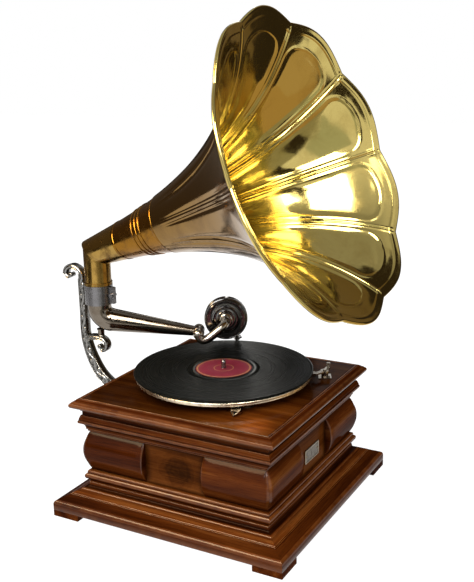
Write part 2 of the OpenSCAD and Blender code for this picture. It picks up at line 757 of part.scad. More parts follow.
module platter() {
  r = platter_d / 2;
  color(nickel) rotate_extrude() polygon(concat(
    [[seat_r + run_gap, hub_z], [hub_r, hub_z], [hub_r, platter_top - platter_t],
      [r - rim_wall, platter_top - platter_t], [r - rim_wall, rim_z]],
    arc([r - rim_round, rim_z + rim_round], rim_round, -90, 0, 4),
    arc([r - rim_round, platter_top - rim_round], rim_round, 0, 90, 4),
    [[seat_r + run_gap, platter_top]]));
}
module felt_mat() {
  color([0.25, 0.32, 0.22]) translate([0, 0, platter_top]) ring(platter_d / 2 - 1, spindle_r + 0.5, felt_t);
}
module record() {
  color([0.05, 0.05, 0.05]) translate([0, 0, record_z]) ring(record_d / 2, spindle_r + run_gap, record_t);
}
module record_label() {
  color([0.6, 0.08, 0.08]) translate([0, 0, record_top]) ring(label_d / 2, spindle_r + run_gap, label_t);
}
module intermediate_shaft() {
  pin_dir = atan2(barrel_at[1] - mid_at[1], barrel_at[0] - mid_at[0]);
  color(brass) translate([mid_at[0], mid_at[1], 0]) {
    translate([0, 0, z_floor_plate]) cylinder(h = z_plate + motor_plate_t - z_floor_plate, r = mid_r);
    translate([0, 0, wheel_z]) spur(wheel_n, mid_m, wheel_t, mid_dir + 180 + 180 / wheel_n);
    translate([0, 0, great_z - 2]) spur(pinion_n, great_m, wheel_z - great_z + 2, pin_dir);
  }
}

// Spring barrel
drum_wall = 2;
cover_t = 2;
module spring_barrel() {
  to_mid = atan2(mid_at[1] - barrel_at[1], mid_at[0] - barrel_at[0]);
  color(brass) barrel_axis() difference() {
    union() {
      translate([0, 0, great_z]) spur(wheel_n, great_m, great_t, to_mid + 180 / wheel_n);
      translate([0, 0, barrel_z + cover_t]) cylinder(h = great_z - barrel_z - cover_t, r = barrel_r);
    }
    translate([0, 0, barrel_z]) cylinder(h = great_z - barrel_z, r = barrel_r - drum_wall);
    translate([0, 0, barrel_z]) cylinder(h = 2 * barrel_h, r = arbor_r + run_gap);
  }
}
module barrel_cover() {
  color(brass) barrel_axis() translate([0, 0, barrel_z]) ring(barrel_r, arbor_r + run_gap, cover_t);
}
spring_turns = 8;
spring_t = 0.7;
module mainspring() {
  steps = 24;
  r0 = arbor_r + 3;
  r1 = barrel_r - drum_wall - spring_t / 2 - seam;
  function mid(i) = r0 + (r1 - r0) * i / (spring_turns * steps);
  function at(i, s) = (mid(i) + s * spring_t / 2) * [cos(360 * i / steps), sin(360 * i / steps)];
  last = spring_turns * steps;
  color(steel) barrel_axis() translate([0, 0, barrel_z + cover_t + gap])
    linear_extrude(barrel_h - cover_t - 2 * gap)
      polygon(concat([for (i = [0 : last]) at(i, 1)], [for (i = [last : -1 : 0]) at(i, -1)]));
}

// Governor
module governor_shaft() {
  color(steel) governor_axis() {
    translate([0, 0, gov_ends[0] - gov_bearing_t / 2])
      cylinder(h = gov_ends[1] - gov_ends[0] + gov_bearing_t, r = gov_r);
    translate([0, 0, disc_y - disc_t / 2]) cylinder(h = disc_t, r = disc_r);
    for (s = [-1, 1]) translate([0, 0, weight_y + s * collar_span / 2 - 3]) cylinder(h = 6, r = gov_collar_r);
  }
}
module governor_worm() {
  color(brass) governor_axis() difference() {
    rotate([0, 0, 180 / worm_n]) helical(worm_n, worm_m, 90 - lead_angle, worm_l, 30);
    translate([0, 0, -worm_l]) cylinder(h = 2 * worm_l, r = gov_r + run_gap);
  }
}
module governor_springs() {
  color(steel) governor_axis() for (a = [0 : 120 : 240]) rotate([0, 0, a]) translate([0, 0, weight_y])
    rotate([90, 0, 0]) linear_extrude(5, center = true) {
      leaf = arc([leaf_mid - leaf_bow, 0], leaf_bow, -leaf_end, leaf_end, 8);
      polygon(concat(leaf, [for (p = back_to_front(leaf)) p + [leaf_t, 0]]));
    }
}
module governor_weights() {
  color(brass) governor_axis() for (a = [0 : 120 : 240]) rotate([0, 0, a])
    translate([leaf_mid + leaf_t + seam, 0, weight_y]) rotate([0, 90, 0]) cylinder(h = 5, r = weight_r);
}

// Winding
ratchet_t = 4;
ratchet_n = 18;
ratchet_r = 13;
ratchet_z = wind_z - wind_face / 2 - ratchet_t - 1.5;
pawl_at = [barrel_at[0] + 22, barrel_at[1] + 12];
pawl_r = 2.5;
module winding_arbor() {
  color(steel) barrel_axis() {
    translate([0, 0, z_floor_plate]) cylinder(h = z_plate + motor_plate_t - z_floor_plate, r = arbor_r);
    translate([0, 0, ratchet_z]) linear_extrude(ratchet_t)
      polygon([for (k = [0 : ratchet_n - 1]) let (a = 360 * k / ratchet_n)
        each [ratchet_r * [cos(a), sin(a)], (ratchet_r - 2) * [cos(a + 2), sin(a + 2)]]]);
  }
}
module arbor_gear() {
  color(brass) barrel_axis() translate([0, 0, wind_z]) difference() {
    rotate([0, 0, -90]) helical(arbor_n, wind_m, 45, wind_face, 6);
    translate([0, 0, -wind_face]) cylinder(h = 2 * wind_face, r = arbor_r + run_gap);
  }
}
module ratchet_pawl() {
  hook = barrel_at - pawl_at;
  reach = norm(hook) - ratchet_r - gap;
  color(steel) translate([pawl_at[0], pawl_at[1], ratchet_z + gap]) difference() {
    union() {
      cylinder(h = ratchet_t - 2 * gap, r = pawl_r + 2.5);
      translate([0, 0, gap]) rotate([0, 0, atan2(hook[1], hook[0])]) linear_extrude(ratchet_t - 4 * gap)
        polygon([[1, -3.6], [reach, -0.6], [reach, 0.6], [1, 3.6]]);
    }
    translate([0, 0, -past]) cylinder(h = ratchet_t + 2 * past, r = pawl_r + run_gap);
  }
}
module crank_shaft() {
  color(steel) crank_axis() translate([0, 0, crank_post_x])
    cylinder(h = crank_x - crank_post_x, r = crank_r);
}
module crank_gear() {
  color(brass) crank_axis() translate([0, 0, barrel_at[0]]) difference() {
    rotate([0, 0, 90 + 180 / crank_n]) helical(crank_n, wind_m, 45, wind_face, 6);
    translate([0, 0, -wind_face]) cylinder(h = 2 * wind_face, r = crank_r + run_gap);
  }
}
module crank_arm() {
  pin_l = grip_l + 2 * gap + grip_cap_t;
  color(nickel) crank_axis() translate([0, 0, crank_x]) {
    cylinder(h = crank_arm_t, r = crank_r + 5);
    linear_extrude(crank_arm_t) polygon([[0, -8], [crank_l, -6], [crank_l, 6], [0, 8]]);
    translate([crank_l, 0, 0]) {
      cylinder(h = crank_arm_t, r = 8);
      cylinder(h = crank_arm_t + pin_l, r = grip_pin_r);
      translate([0, 0, crank_arm_t + pin_l - grip_cap_t]) cylinder(h = grip_cap_t, r = 6);
    }
  }
}
module crank_handle() {
  r = grip_d / 2;
  color(wood) crank_axis() translate([crank_l, 0, crank_x + crank_arm_t + gap]) rotate_extrude()
    polygon(concat([[grip_pin_r + run_gap, 0], [r * 0.75, 0], [r * 0.75, 3]],
      [for (i = [0 : 12]) [r * (0.62 + 0.38 * sin(180 * pow(i / 12, 1.3))), 4 + (grip_l - 4) * i / 12]],
      [[grip_pin_r + run_gap, grip_l]]));
}

// Tonearm, in its own frame: X along the arm, Y away from the spindle's far side, Z up
hinge_at = [arm_reach, 0, hinge_z];
cone_at = [tube_x - pipe_lap * cos(arm_slope), 0, tube_z + pipe_lap * sin(arm_slope)];
module arm_tube(cut) {
  translate([0, 0, elbow_top]) {
    if (cut > 0) {
      cylinder(h = arm_stub + pipe_lap + past, r = elbow_r - cut);
      translate([0, 0, arm_stub + pipe_lap]) cylinder(h = collar_split - collar_z, r = pipe_r - cut);
    } else {
      cylinder(h = arm_stub, r = elbow_r);
      translate([0, 0, arm_stub - stub_lap]) cylinder(h = stub_lap + collar_split - collar_z, r = pipe_r);
    }
    translate([elbow_bend, 0, 0]) rotate([90, 0, 180]) rotate_extrude(angle = -elbow_turn)
      translate([elbow_bend, 0]) circle(r = elbow_r - cut);
  }
  rod(cone_at, hinge_at, arm_r_big - cut, arm_r_small - cut);
}
module tonearm() {
  color(nickel) arm_frame() difference() {
    union() {
      difference() {
        union() {
          arm_tube(0);
          translate([0, 0, branch_z + 1.5]) cylinder(h = elbow_r - 3, r = boss_r);
        }
        arm_tube(arm_wall);
      }
      translate([0, 0, branch_z + 1.5]) cylinder(h = 9, r = boss_r);
      translate([arm_reach, hinge_half, hinge_z]) rotate([90, 0, 0])
        cylinder(h = 2 * hinge_half, r = hinge_r);
    }
    translate([0, 0, branch_z]) cylinder(h = 7, r = socket_r);
    translate([arm_reach, hinge_half + past, hinge_z]) rotate([90, 0, 0])
      cylinder(h = 2 * hinge_half + 2 * past, r = journal_r + run_gap);
  }
}
// Gooseneck: a journal in the arm's hinge, a tube that dips and rises beside the arm, and a knurled ring
goose_path = [[arm_reach, goose_side, hinge_z], [arm_reach + 4, goose_side, hinge_z - 8],
  [arm_reach + 0.83 * box_out, goose_side + 3, hinge_z + 0.467 * (box_at[1] - hinge_z)],
  [box_at[0], goose_side + 8, box_at[1]],
  [box_at[0], box_back, box_at[1]]];
module gooseneck() {
  color(nickel) arm_frame() {
    translate([arm_reach, -hinge_half - gap, hinge_z]) rotate([90, 0, 0])
      cylinder(h = -goose_side - hinge_half - gap, r = goose_r + 1);
    translate([arm_reach, hinge_half + gap + 5, hinge_z]) rotate([90, 0, 0])
      cylinder(h = 2 * hinge_half + 2 * gap + 6, r = journal_r);
    translate([arm_reach, hinge_half + gap + 5, hinge_z]) rotate([90, 0, 0]) cylinder(h = 5, r = hinge_r);
    for (i = [0 : 3]) rod(goose_path[i], goose_path[i + 1], goose_r, goose_r);
    for (i = [0 : 3]) translate(goose_path[i]) sphere(r = goose_r + (i == 0 ? 1.3 : 0.2));
    translate([box_at[0], box_back, box_at[1]]) rotate([90, 0, 0]) cylinder(h = 4, r = goose_r + 3.5);
  }
}
module box_frame() {
  arm_frame() translate([box_at[0], box_back, box_at[1]]) rotate([-90, 0, 0]) children();
}
module soundbox() {
  r = box_r;
  t = soundbox_t;
  color([0.16, 0.16, 0.17]) box_frame() rotate_extrude() polygon(concat(
    [[0, 0], [r * 0.55, 0], [r * 0.6, 1.2], [r - 4, 2]], arc([r - 3, 5], 3, -60, 0, 3),
    arc([r - 2, t - 2], 2, 0, 90, 3),
    [[r - 7, t], [r - 7, t - 3], [r - 4, t - 3], [r - 4, t - 5], [r - 7, t - 5], [r - 7, 4], [0, 4]]));
}
module diaphragm() {
  color([0.75, 0.75, 0.7]) box_frame() translate([0, 0, soundbox_t - 4 - diaphragm_t / 2])
    cylinder(h = diaphragm_t, r = box_r - 4 - seam);
}
// The needle's line: X runs outwards from the middle of the soundbox
module needle_line() {
  arm_frame() translate([box_at[0], box_mid, box_at[1]]) rotate([0, -needle_dir, 0]) children();
}
module stylus_bar() {
  front = box_front - box_mid;
  color(nickel) needle_line() difference() {
    union() {
      translate([holder_r0, -holder_w, -holder_w])
        cube([holder_l, front + holder_w + bar_gap + bar_t, 2 * holder_w]);
      translate([-2, front + bar_gap, -1.4]) cube([holder_r0 + 3, bar_t, 2.8]);
      translate([holder_r0 + rock_off, 0, -holder_w - rock_off]) cylinder(h = holder_w, r = rock_r);
    }
    translate([holder_r0 - past, 0, 0]) rotate([0, 90, 0])
      cylinder(h = holder_l + 2 * past, r = needle_r + 0.02);
    translate([holder_r0 + holder_l / 2, 0, 0]) cylinder(h = 2 * holder_w, r = 1.2 + run_gap);
  }
}
module needle() {
  color(steel) needle_line() translate([holder_r0 + 0.5, 0, 0]) rotate([0, 90, 0]) {
    l = needle_end - holder_r0 - 0.5;
    cylinder(h = l - 3, r = needle_r);
    translate([0, 0, l - 3]) cylinder(h = 3, r1 = needle_r, r2 = 0.15);
  }
}
module needle_screw() {
  color(steel) needle_line() translate([holder_r0 + holder_l / 2, 0, needle_r + gap]) {
    cylinder(h = holder_w - needle_r, r = 1.2);
    translate([0, 0, holder_w - needle_r]) cylinder(h = 3.2, r = 2.6);
  }
}

// Horn
module mitre_half() {
  far = 10 * throat;
  translate([0, pivot_y, mitre_z]) rotate([mitre_turn / 2, 0, horn_turn]) translate([-far, -far, 0])
    cube(2 * far);
}
module elbow_solid(cut) {
  extra = cut > 0 ? past : 0;
  difference() {
    translate([0, pivot_y, horn_foot - extra])
      cylinder(h = mitre_z - horn_foot + 2 * throat, r = pipe_r - cut);
    mitre_half();
  }
  intersection() {
    horn_frame() translate([0, 0, -throat])
      cylinder(h = throat + elbow_l + extra, r1 = pipe_r - cut, r2 = horn_r(elbow_l) - cut);
    mitre_half();
  }
}
module horn_elbow() {
  color(brass) difference() {
    union() {
      elbow_solid(0);
      translate([0, pivot_y, collar_z + collar_h + gap]) cylinder(h = bead_h, r = collar_r + collar_wall);
    }
    elbow_solid(horn_wall);
  }
}
ring_at = [bell_start - 46, bell_start - 38, bell_start - 30.5, bell_start - 3];
function neck_bulge(t) = max([for (c = ring_at) sqrt(max(0, 6.25 - pow(t - c, 2)))]);
module horn_neck() {
  steps = [for (t = [elbow_l : 1 : bell_start]) t];
  color(brass) horn_frame() rotate_extrude() polygon(concat(
    [for (t = steps) [horn_r(t) + 0.5 * neck_bulge(t), t]],
    [for (k = [5 : -1 : 0]) let (t = elbow_l + (bell_start - elbow_l) * k / 5) [horn_r(t) - horn_wall, t]]));
}
// One petal, a sheet of even thickness with a rolled lip, as rings of points across it
module petal() {
  along = 10;
  across = 6;
  half_turn = 180 / petals;
  lip = [[1.4, 0.4], [2, 2.4], [0, 3.6], [-1.8, 2.6]];
  bends = len(lip);
  // Where the sheet ends, as u runs from -1 to 1 across the petal, and the steps up to there
  function end(u) = horn_l - petal_cut * pow(abs(u), 2.4) / norm([1, horn_slope(horn_l)]);
  function step(i, u) = bell_start + (end(u) - bell_start) * pow(i / along, 0.85);
  function at(t, r, u) = let (a = 90 + u * (half_turn - asin(seam / r))) [r * cos(a), r * sin(a), t];
  function outside(t, u) = let (s = horn_slope(t), k = horn_wall / norm([1, s]))
    at(t - s * k, horn_r(t) + k, u);
  function row(u) = concat(
    [for (i = [0 : along]) at(step(i, u), horn_r(step(i, u)), u)],
    [for (p = lip) at(end(u) + p[0], horn_r(end(u)) + p[1], u)],
    [for (i = [along - 1 : -1 : 0]) outside(step(i, u), u)]);
  last = 2 * along + bends;
  n = last + 1;
  points = [for (j = [0 : across]) each row(2 * j / across - 1)];
  // The petal's two cut edges run from the inside to the outside in strips
  edge = concat(
    [for (i = [0 : along - 2]) each [[i, i + 1, last - 1 - i], [i, last - 1 - i, last - i]]],
    [for (k = [1 : bends]) [along, along + k, along + k + 1]],
    [[along, along + bends + 1, along - 1]]);
  sides = [for (j = [0 : across - 1], i = [0 : last]) let (a = j * n + i, b = j * n + (i + 1) % n)
    each [[a, a + n, b], [b, a + n, b + n]]];
  polyhedron(points, concat(sides, edge, [for (f = edge) [for (k = [2 : -1 : 0]) across * n + f[k]]]));
}
module horn_bell() {
  color(gold) horn_frame() for (k = [0 : petals - 1]) rotate([0, 0, 360 * k / petals]) petal();
}

plinth_rails();
feet();
bottom_board();
front_panel();
back_panel();
left_panel();
right_panel();
corner_posts();
corner_bolsters();
lower_mouldings();
upper_mouldings();
top_frame();
motor_board();
bottom_screws();
name_plate();
crank_escutcheon();
bracket();
bracket_screws();
arm_collar();
brake_base();
speed_plate();
motor_top_plate();
motor_bottom_plate();
motor_pillars();
motor_bolts();
governor_bearings();
spindle();
governor_wheel();
platter();
felt_mat();
record();
record_label();
intermediate_shaft();
spring_barrel();
barrel_cover();
mainspring();
governor_shaft();
governor_worm();
governor_springs();
governor_weights();
crank_shaft();
crank_gear();
crank_arm();
crank_handle();
winding_arbor();
arbor_gear();
ratchet_pawl();
speed_lever();
governor_brake();
brake_lever();
tonearm();
gooseneck();
soundbox();
diaphragm();
stylus_bar();
needle();
needle_screw();
horn_elbow();
horn_neck();
horn_bell();
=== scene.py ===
"""Looks of the gramophone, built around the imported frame. Lengths are in millimetres, scaled by MM."""
from math import acos, asin, cos, degrees, exp, hypot, pi, radians, sin, sqrt, tan

import bmesh
import bpy
import numpy as np
from mathutils import Matrix, Vector


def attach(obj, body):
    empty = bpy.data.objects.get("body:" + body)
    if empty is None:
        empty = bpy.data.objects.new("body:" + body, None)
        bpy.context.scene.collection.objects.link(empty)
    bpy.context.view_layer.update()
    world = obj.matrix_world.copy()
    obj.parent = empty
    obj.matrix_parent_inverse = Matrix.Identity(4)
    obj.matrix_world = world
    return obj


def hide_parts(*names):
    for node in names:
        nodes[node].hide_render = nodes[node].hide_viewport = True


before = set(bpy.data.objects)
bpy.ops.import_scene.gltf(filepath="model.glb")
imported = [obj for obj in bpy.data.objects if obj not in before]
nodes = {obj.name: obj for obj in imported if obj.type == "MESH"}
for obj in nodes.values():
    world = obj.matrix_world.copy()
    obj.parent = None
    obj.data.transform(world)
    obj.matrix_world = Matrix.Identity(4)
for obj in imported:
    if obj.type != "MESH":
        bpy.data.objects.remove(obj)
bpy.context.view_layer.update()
scene = bpy.context.scene
MM = 0.001

# Sizes shared with the part's source
HALF = 134.0
SEAM = 0.1
Z_PLINTH, Z_LOWER, Z_FRIEZE, Z_UPPER, Z_TOP, Z_BOARD = 8.0, 43.0, 61.0, 118.0, 148.0, 166.0
Z_UNDER = 154.0
PLINTH_REACH, UPPER_REACH, TOP_REACH = 40.4, 12.0, 19.6
BOARD_HALF, LEDGE = 139.7, 12.0
FRIEZE_GAP, BULGE = 90.0, 11.0
PIVOT = np.array([0.0, 210.0, 0.0])
COLLAR_Z, COLLAR_H, COLLAR_R, COLLAR_WALL = 255.0, 28.8, 19.6, 1.4
ELBOW_TOP = COLLAR_Z - 6.0
ARM_ANGLE, ARM_SLOPE, ARM_REACH = radians(-60.4), radians(9.5), 146.0
E = np.array([cos(ARM_ANGLE), sin(ARM_ANGLE), 0.0])
N = np.array([-E[1], E[0], 0.0])
UP = np.array([0.0, 0.0, 1.0])
BEND, ELBOW_R = 21.0, 17.6
TURN = pi / 2 - ARM_SLOPE
TUBE_X = BEND * (1 - cos(TURN))
TUBE_Z = ELBOW_TOP - BEND * sin(TURN)
HINGE_Z = TUBE_Z - (ARM_REACH - TUBE_X) * tan(ARM_SLOPE)
BRANCH_Z = ELBOW_TOP - BEND - ELBOW_R - 6.0
BOX_A, BOX_Z, BOX_R, BOX_T, BOX_BACK = ARM_REACH + 41.0, HINGE_Z + 15.0, 32.75, 15.0, 9.0
HORN_L, MOUTH_R, PETALS, PETAL_CUT, BELL_START, ELBOW_L = 393.5, 201.0, 10, 10.8, 149.0, 58.0
TILT, SWING = radians(21.5), radians(-3.3)
MITRE = np.array([0.0, PIVOT[1], COLLAR_Z + COLLAR_H + 49.7])
AX = np.array([sin(SWING) * cos(TILT), -cos(SWING) * cos(TILT), sin(TILT)])
HY = np.array([-sin(SWING) * sin(TILT), cos(SWING) * sin(TILT), cos(TILT)])
HX = np.array([cos(SWING), sin(SWING), 0.0])
FLARE_BASE, FLARE, RATE = 11.0, 11.4, HORN_L * 0.3748
FLARE_END = FLARE_BASE + FLARE * exp(HORN_L / RATE)
PLATTER_LOW, PLATTER_TOP, RECORD_Z, RECORD_TOP, LABEL_TOP = 175.5, 181.5, 183.1, 185.3, 185.5
PLATTER_R, RECORD_R, LABEL_R, HOLE_R, HUB_R = 122.5, 125.0, 39.0, 3.66, 5.56
FLANGE_HALF = 23.0
# Steps of the grain from one length of moulding or pad to the next, along it and across it
RAIL_STEP, PAD_STEP = (700, 130), (410, 95)


def placed(name, data, place=(0, 0, 0), target=None):
    """A new object in the scene, which looks at the target where one is given."""
    o = bpy.data.objects.new(name, data)
    scene.collection.objects.link(o)
    o.location = place
    if target:
        o.rotation_euler = (Vector(target) - Vector(place)).to_track_quat("-Z", "Y").to_euler()
    return o


# Node graphs
class Graph:
    """The node tree of a material or the world, with short calls to make and link nodes."""

    def __init__(self, owner, last="OutputMaterial"):
        owner.use_nodes = True
        self.owner, self.tree = owner, owner.node_tree
        self.tree.nodes.clear()
        self.out = self.node(last).inputs[0]

    def put(self, socket, value):
        if isinstance(value, bpy.types.Node):
            value = value.outputs[0]
        if isinstance(value, bpy.types.NodeSocket):
            self.tree.links.new(value, socket)
        else:
            socket.default_value = value

    def node(self, kind, inputs=None, **props):
        n = self.tree.nodes.new("ShaderNode" + kind)
        for key, value in props.items():
            setattr(n, key, value)
        for key, value in (inputs or {}).items():
            self.put(n.inputs[key], value)
        return n

    def math(self, op, a, b=0.0):
        return self.node("Math", {0: a, 1: b}, operation=op)

    def mul(self, a, b):
        return self.math("MULTIPLY", a, b)

    def weighted(self, *terms):
        """The sum of values, each times its weight."""
        parts = [self.mul(value, weight) for value, weight in terms]
        total = parts[0]
        for part in parts[1:]:
            total = self.math("ADD", total, part)
        return total

    def vector(self, op, a, b=(0, 0, 0)):
        return self.node("VectorMath", {0: a, 1: b}, operation=op)

    def coords(self, kind="Object"):
        return self.node("TexCoord").outputs[kind]

    def away(self, where):
        """Distance from a place on the object."""
        return self.vector("DISTANCE", self.coords(), where).outputs["Value"]

    def radius(self):
        """Distance from the turntable's axis."""
        return self.vector("LENGTH", self.mapped(self.coords(), (1, 1, 0))).outputs["Value"]

    def edge(self):
        """The mesh's edge value: above 0 where the surface is worn, below 0 in a hollow, where the wood
        paints shade.
        """
        return self.node("Attribute", attribute_name="edge").outputs["Fac"]

    def mapped(self, vector, scale=(1, 1, 1), rotation=(0, 0, 0), location=(0, 0, 0)):
        return self.node("Mapping", {"Vector": vector, "Scale": scale, "Rotation": rotation,
                                     "Location": location})

    def noise(self, vector, scale=1.0, detail=2.0, rough=0.5, distort=0.0):
        return self.node("TexNoise", {"Vector": vector, "Scale": scale, "Detail": detail, "Roughness": rough,
                                      "Distortion": distort})

    def ramp(self, fac, stops):
        n = self.node("ValToRGB", {"Fac": fac})
        while len(n.color_ramp.elements) < len(stops):
            n.color_ramp.elements.new(0.5)
        for e, (pos, colour) in zip(n.color_ramp.elements, stops):
            e.position = pos
            e.color = colour + (1.0,)
        return n.outputs[0]

    def mix(self, fac, a, b, blend="MIX"):
        n = self.node("Mix", {0: fac}, data_type="RGBA", blend_type=blend)
        for slot, colour in ((6, a), (7, b)):
            self.put(n.inputs[slot], colour + (1.0,) if isinstance(colour, tuple) else colour)
        return n.outputs[2]

    def span(self, value, lo, hi, to_lo=0.0, to_hi=1.0, smooth=False):
        return self.node("MapRange", {0: value, 1: lo, 2: hi, 3: to_lo, 4: to_hi},
                         interpolation_type="SMOOTHSTEP" if smooth else "LINEAR")


class Surface(Graph):
    """A new material with a Principled shader."""

    def __init__(self, name):
        super().__init__(bpy.data.materials.new(name))
        self.bsdf = self.node("BsdfPrincipled")
        self.put(self.out, self.bsdf)

    def set(self, **values):
        for key, value in values.items():
            self.put(self.bsdf.inputs[key.replace("_", " ")], value)

    def bump(self, height, strength, distance):
        self.set(Normal=self.node("Bump", {"Height": height, "Strength": strength, "Distance": distance}))


def dimmed(colour, share):
    return tuple(c * share for c in colour)


# Scales of the grain's layers, along it and across it, and where its tones lie
GRAIN_WARP, GRAIN_STREAK, GRAIN_BAND = (3, 9, 9), (2.2, 55, 55), (1.0, 18, 18)
GRAIN_FIBRE, GRAIN_PORE = (14, 700, 700), (36, 1900, 1900)
TONE_STOPS = (0.36, 0.47, 0.56, 0.68)


def wood(name, tones, coords="UV", rotation=(0, 0, 0), seed=0.0, polish=0.035, spot=None, painted_glare=(),
         painted_border_shade=None):
    """Polished wood with its grain along the first coordinate.

    spot is a dark knot (place, size), painted_glare holds spots lightened as a painted glare (place, near,
    far, gain), and painted_border_shade is the axis across a panel whose border is darkened as painted shade.
    Wood with UV coordinates has worn edges and painted shade in its hollows.
    """
    g = Surface(name)
    p = g.mapped(g.coords(coords), rotation=rotation, location=(seed, seed * 0.7, seed * 1.3))
    warp = g.noise(g.mapped(p, GRAIN_WARP)).outputs["Color"]
    bent = g.vector("ADD", p, g.vector("MULTIPLY", warp, (0.0, 0.02, 0.02)))
    streak = g.noise(g.mapped(bent, GRAIN_STREAK), 1.0, 3.0, 0.55)
    band = g.noise(g.mapped(bent, GRAIN_BAND), 1.0, 1.0)
    fibre = g.noise(g.mapped(bent, GRAIN_FIBRE), 1.0, 2.0, 0.6)
    cloud = g.noise(p, 11.0)
    tone = g.weighted((streak, 0.42), (band, 0.34), (fibre, 0.16), (cloud, 0.12))
    if spot:
        where, size = spot
        uneven = g.math("SUBTRACT", g.noise(p, 55.0, 4.0, 0.6), 0.5)
        ragged = g.math("ADD", g.away(where), g.mul(uneven, 0.03))
        rings = g.mul(g.math("SINE", g.mul(ragged, 700.0)), 0.012)
        heart = g.span(ragged, size * 1.15, size * 0.5, 0.0, 0.075, True)
        ringed = g.mul(rings, g.span(ragged, size * 1.5, size, 0.0, 1.0, True))
        tone = g.math("ADD", g.math("SUBTRACT", tone, heart), ringed)
    colour = g.ramp(tone, list(zip(TONE_STOPS, tones)))
    pore = g.span(g.noise(g.mapped(bent, GRAIN_PORE), 1.0, 1.0), 0.6, 0.72, 0.0, 0.55)
    colour = g.mix(pore, colour, dimmed(tones[0], 0.35))
    shade = dimmed(tones[0], 0.3)
    # Painted shade: the panel darkens next to the pads at its ends and under and over the mouldings.
    if painted_border_shade is not None:
        part = g.node("SeparateXYZ", {0: g.coords()})
        near = g.span(g.math("ABSOLUTE", part.outputs[painted_border_shade]), 0.033, 0.045, 0.0, 1.0, True)
        for z0, z1 in ((Z_UPPER - 9, Z_UPPER), (Z_FRIEZE + 6, Z_FRIEZE)):
            near = g.math("MAXIMUM", near, g.span(part.outputs[2], z0 * MM, z1 * MM, 0.0, 1.0, True))
        colour = g.mix(g.mul(near, 0.72), colour, shade)
    # Painted glare: each listed spot lightens the colour by its gain, fading out from near to far.
    for where, near, far, gain in painted_glare:
        away = g.away(where)
        glare_level = g.node("CombineXYZ", {i: g.span(away, near, far, gain, 1.0, True) for i in range(3)})
        colour = g.mix(1.0, colour, glare_level.outputs[0], "MULTIPLY")
    shine = polish
    if coords == "UV":
        edge = g.edge()
        shine = g.math("ADD", polish, g.span(edge, 0.06, 0.4, 0.0, 0.55))
        rub = g.mul(g.span(edge, 0.05, 0.7), g.span(g.noise(p, 60.0, 3.0), 0.35, 0.6, 0.15, 0.75))
        colour = g.mix(rub, colour, tones[3])
        # Painted shade: hollows, where the edge value is below 0, darken towards the shade colour.
        colour = g.mix(g.span(edge, -0.05, -0.6, 0.0, 0.8), colour, shade)
    g.set(Base_Color=colour, Roughness=g.span(streak, 0.3, 0.7, 0.42, 0.30), Coat_Weight=shine,
          Coat_Roughness=0.12, Specular_IOR_Level=0.0)
    g.bump(g.weighted((pore, -1.0), (fibre, 0.3)), 0.25, 0.0003)
    return g.owner


def metal(name, colour, dark, rough, tarnish, scale, wave=0.0, wave_scale=12.0, brush=None, relief=False):
    """Metal with blotchy tarnish and fine scratches.

    wave is an unevenness that bends reflections, brush the scale of brushed lines; relief darkens hollows.
    """
    g = Surface(name)
    p = g.coords()
    amount = g.span(g.noise(p, scale, 5.0, 0.62, 0.4), 0.42, 0.72, 0.0, tarnish, True)
    tint = g.mix(amount, colour, dark)
    if relief:
        tint = g.mix(g.span(g.edge(), 0.15, -0.35, 0.0, 0.92, True), tint, dimmed(dark, 0.22))
    spots = g.span(g.noise(p, scale * 14, 3.0, 0.6), 0.3, 0.75, rough, rough + 0.06)
    g.set(Base_Color=tint, Metallic=1.0, Roughness=g.math("ADD", g.mul(amount, 0.22), spots))
    heights = []
    if wave:
        heights.append((g.noise(p, wave_scale), wave))
    if brush:
        heights.append((g.noise(g.mapped(p, brush)), 0.00012))
    heights.append((g.noise(g.mapped(p, (40, 40, 700), rotation=(0.5, 0.7, 0.2))), 0.00001))
    g.bump(g.weighted(*heights), 1.0, 1.0)
    return g.owner


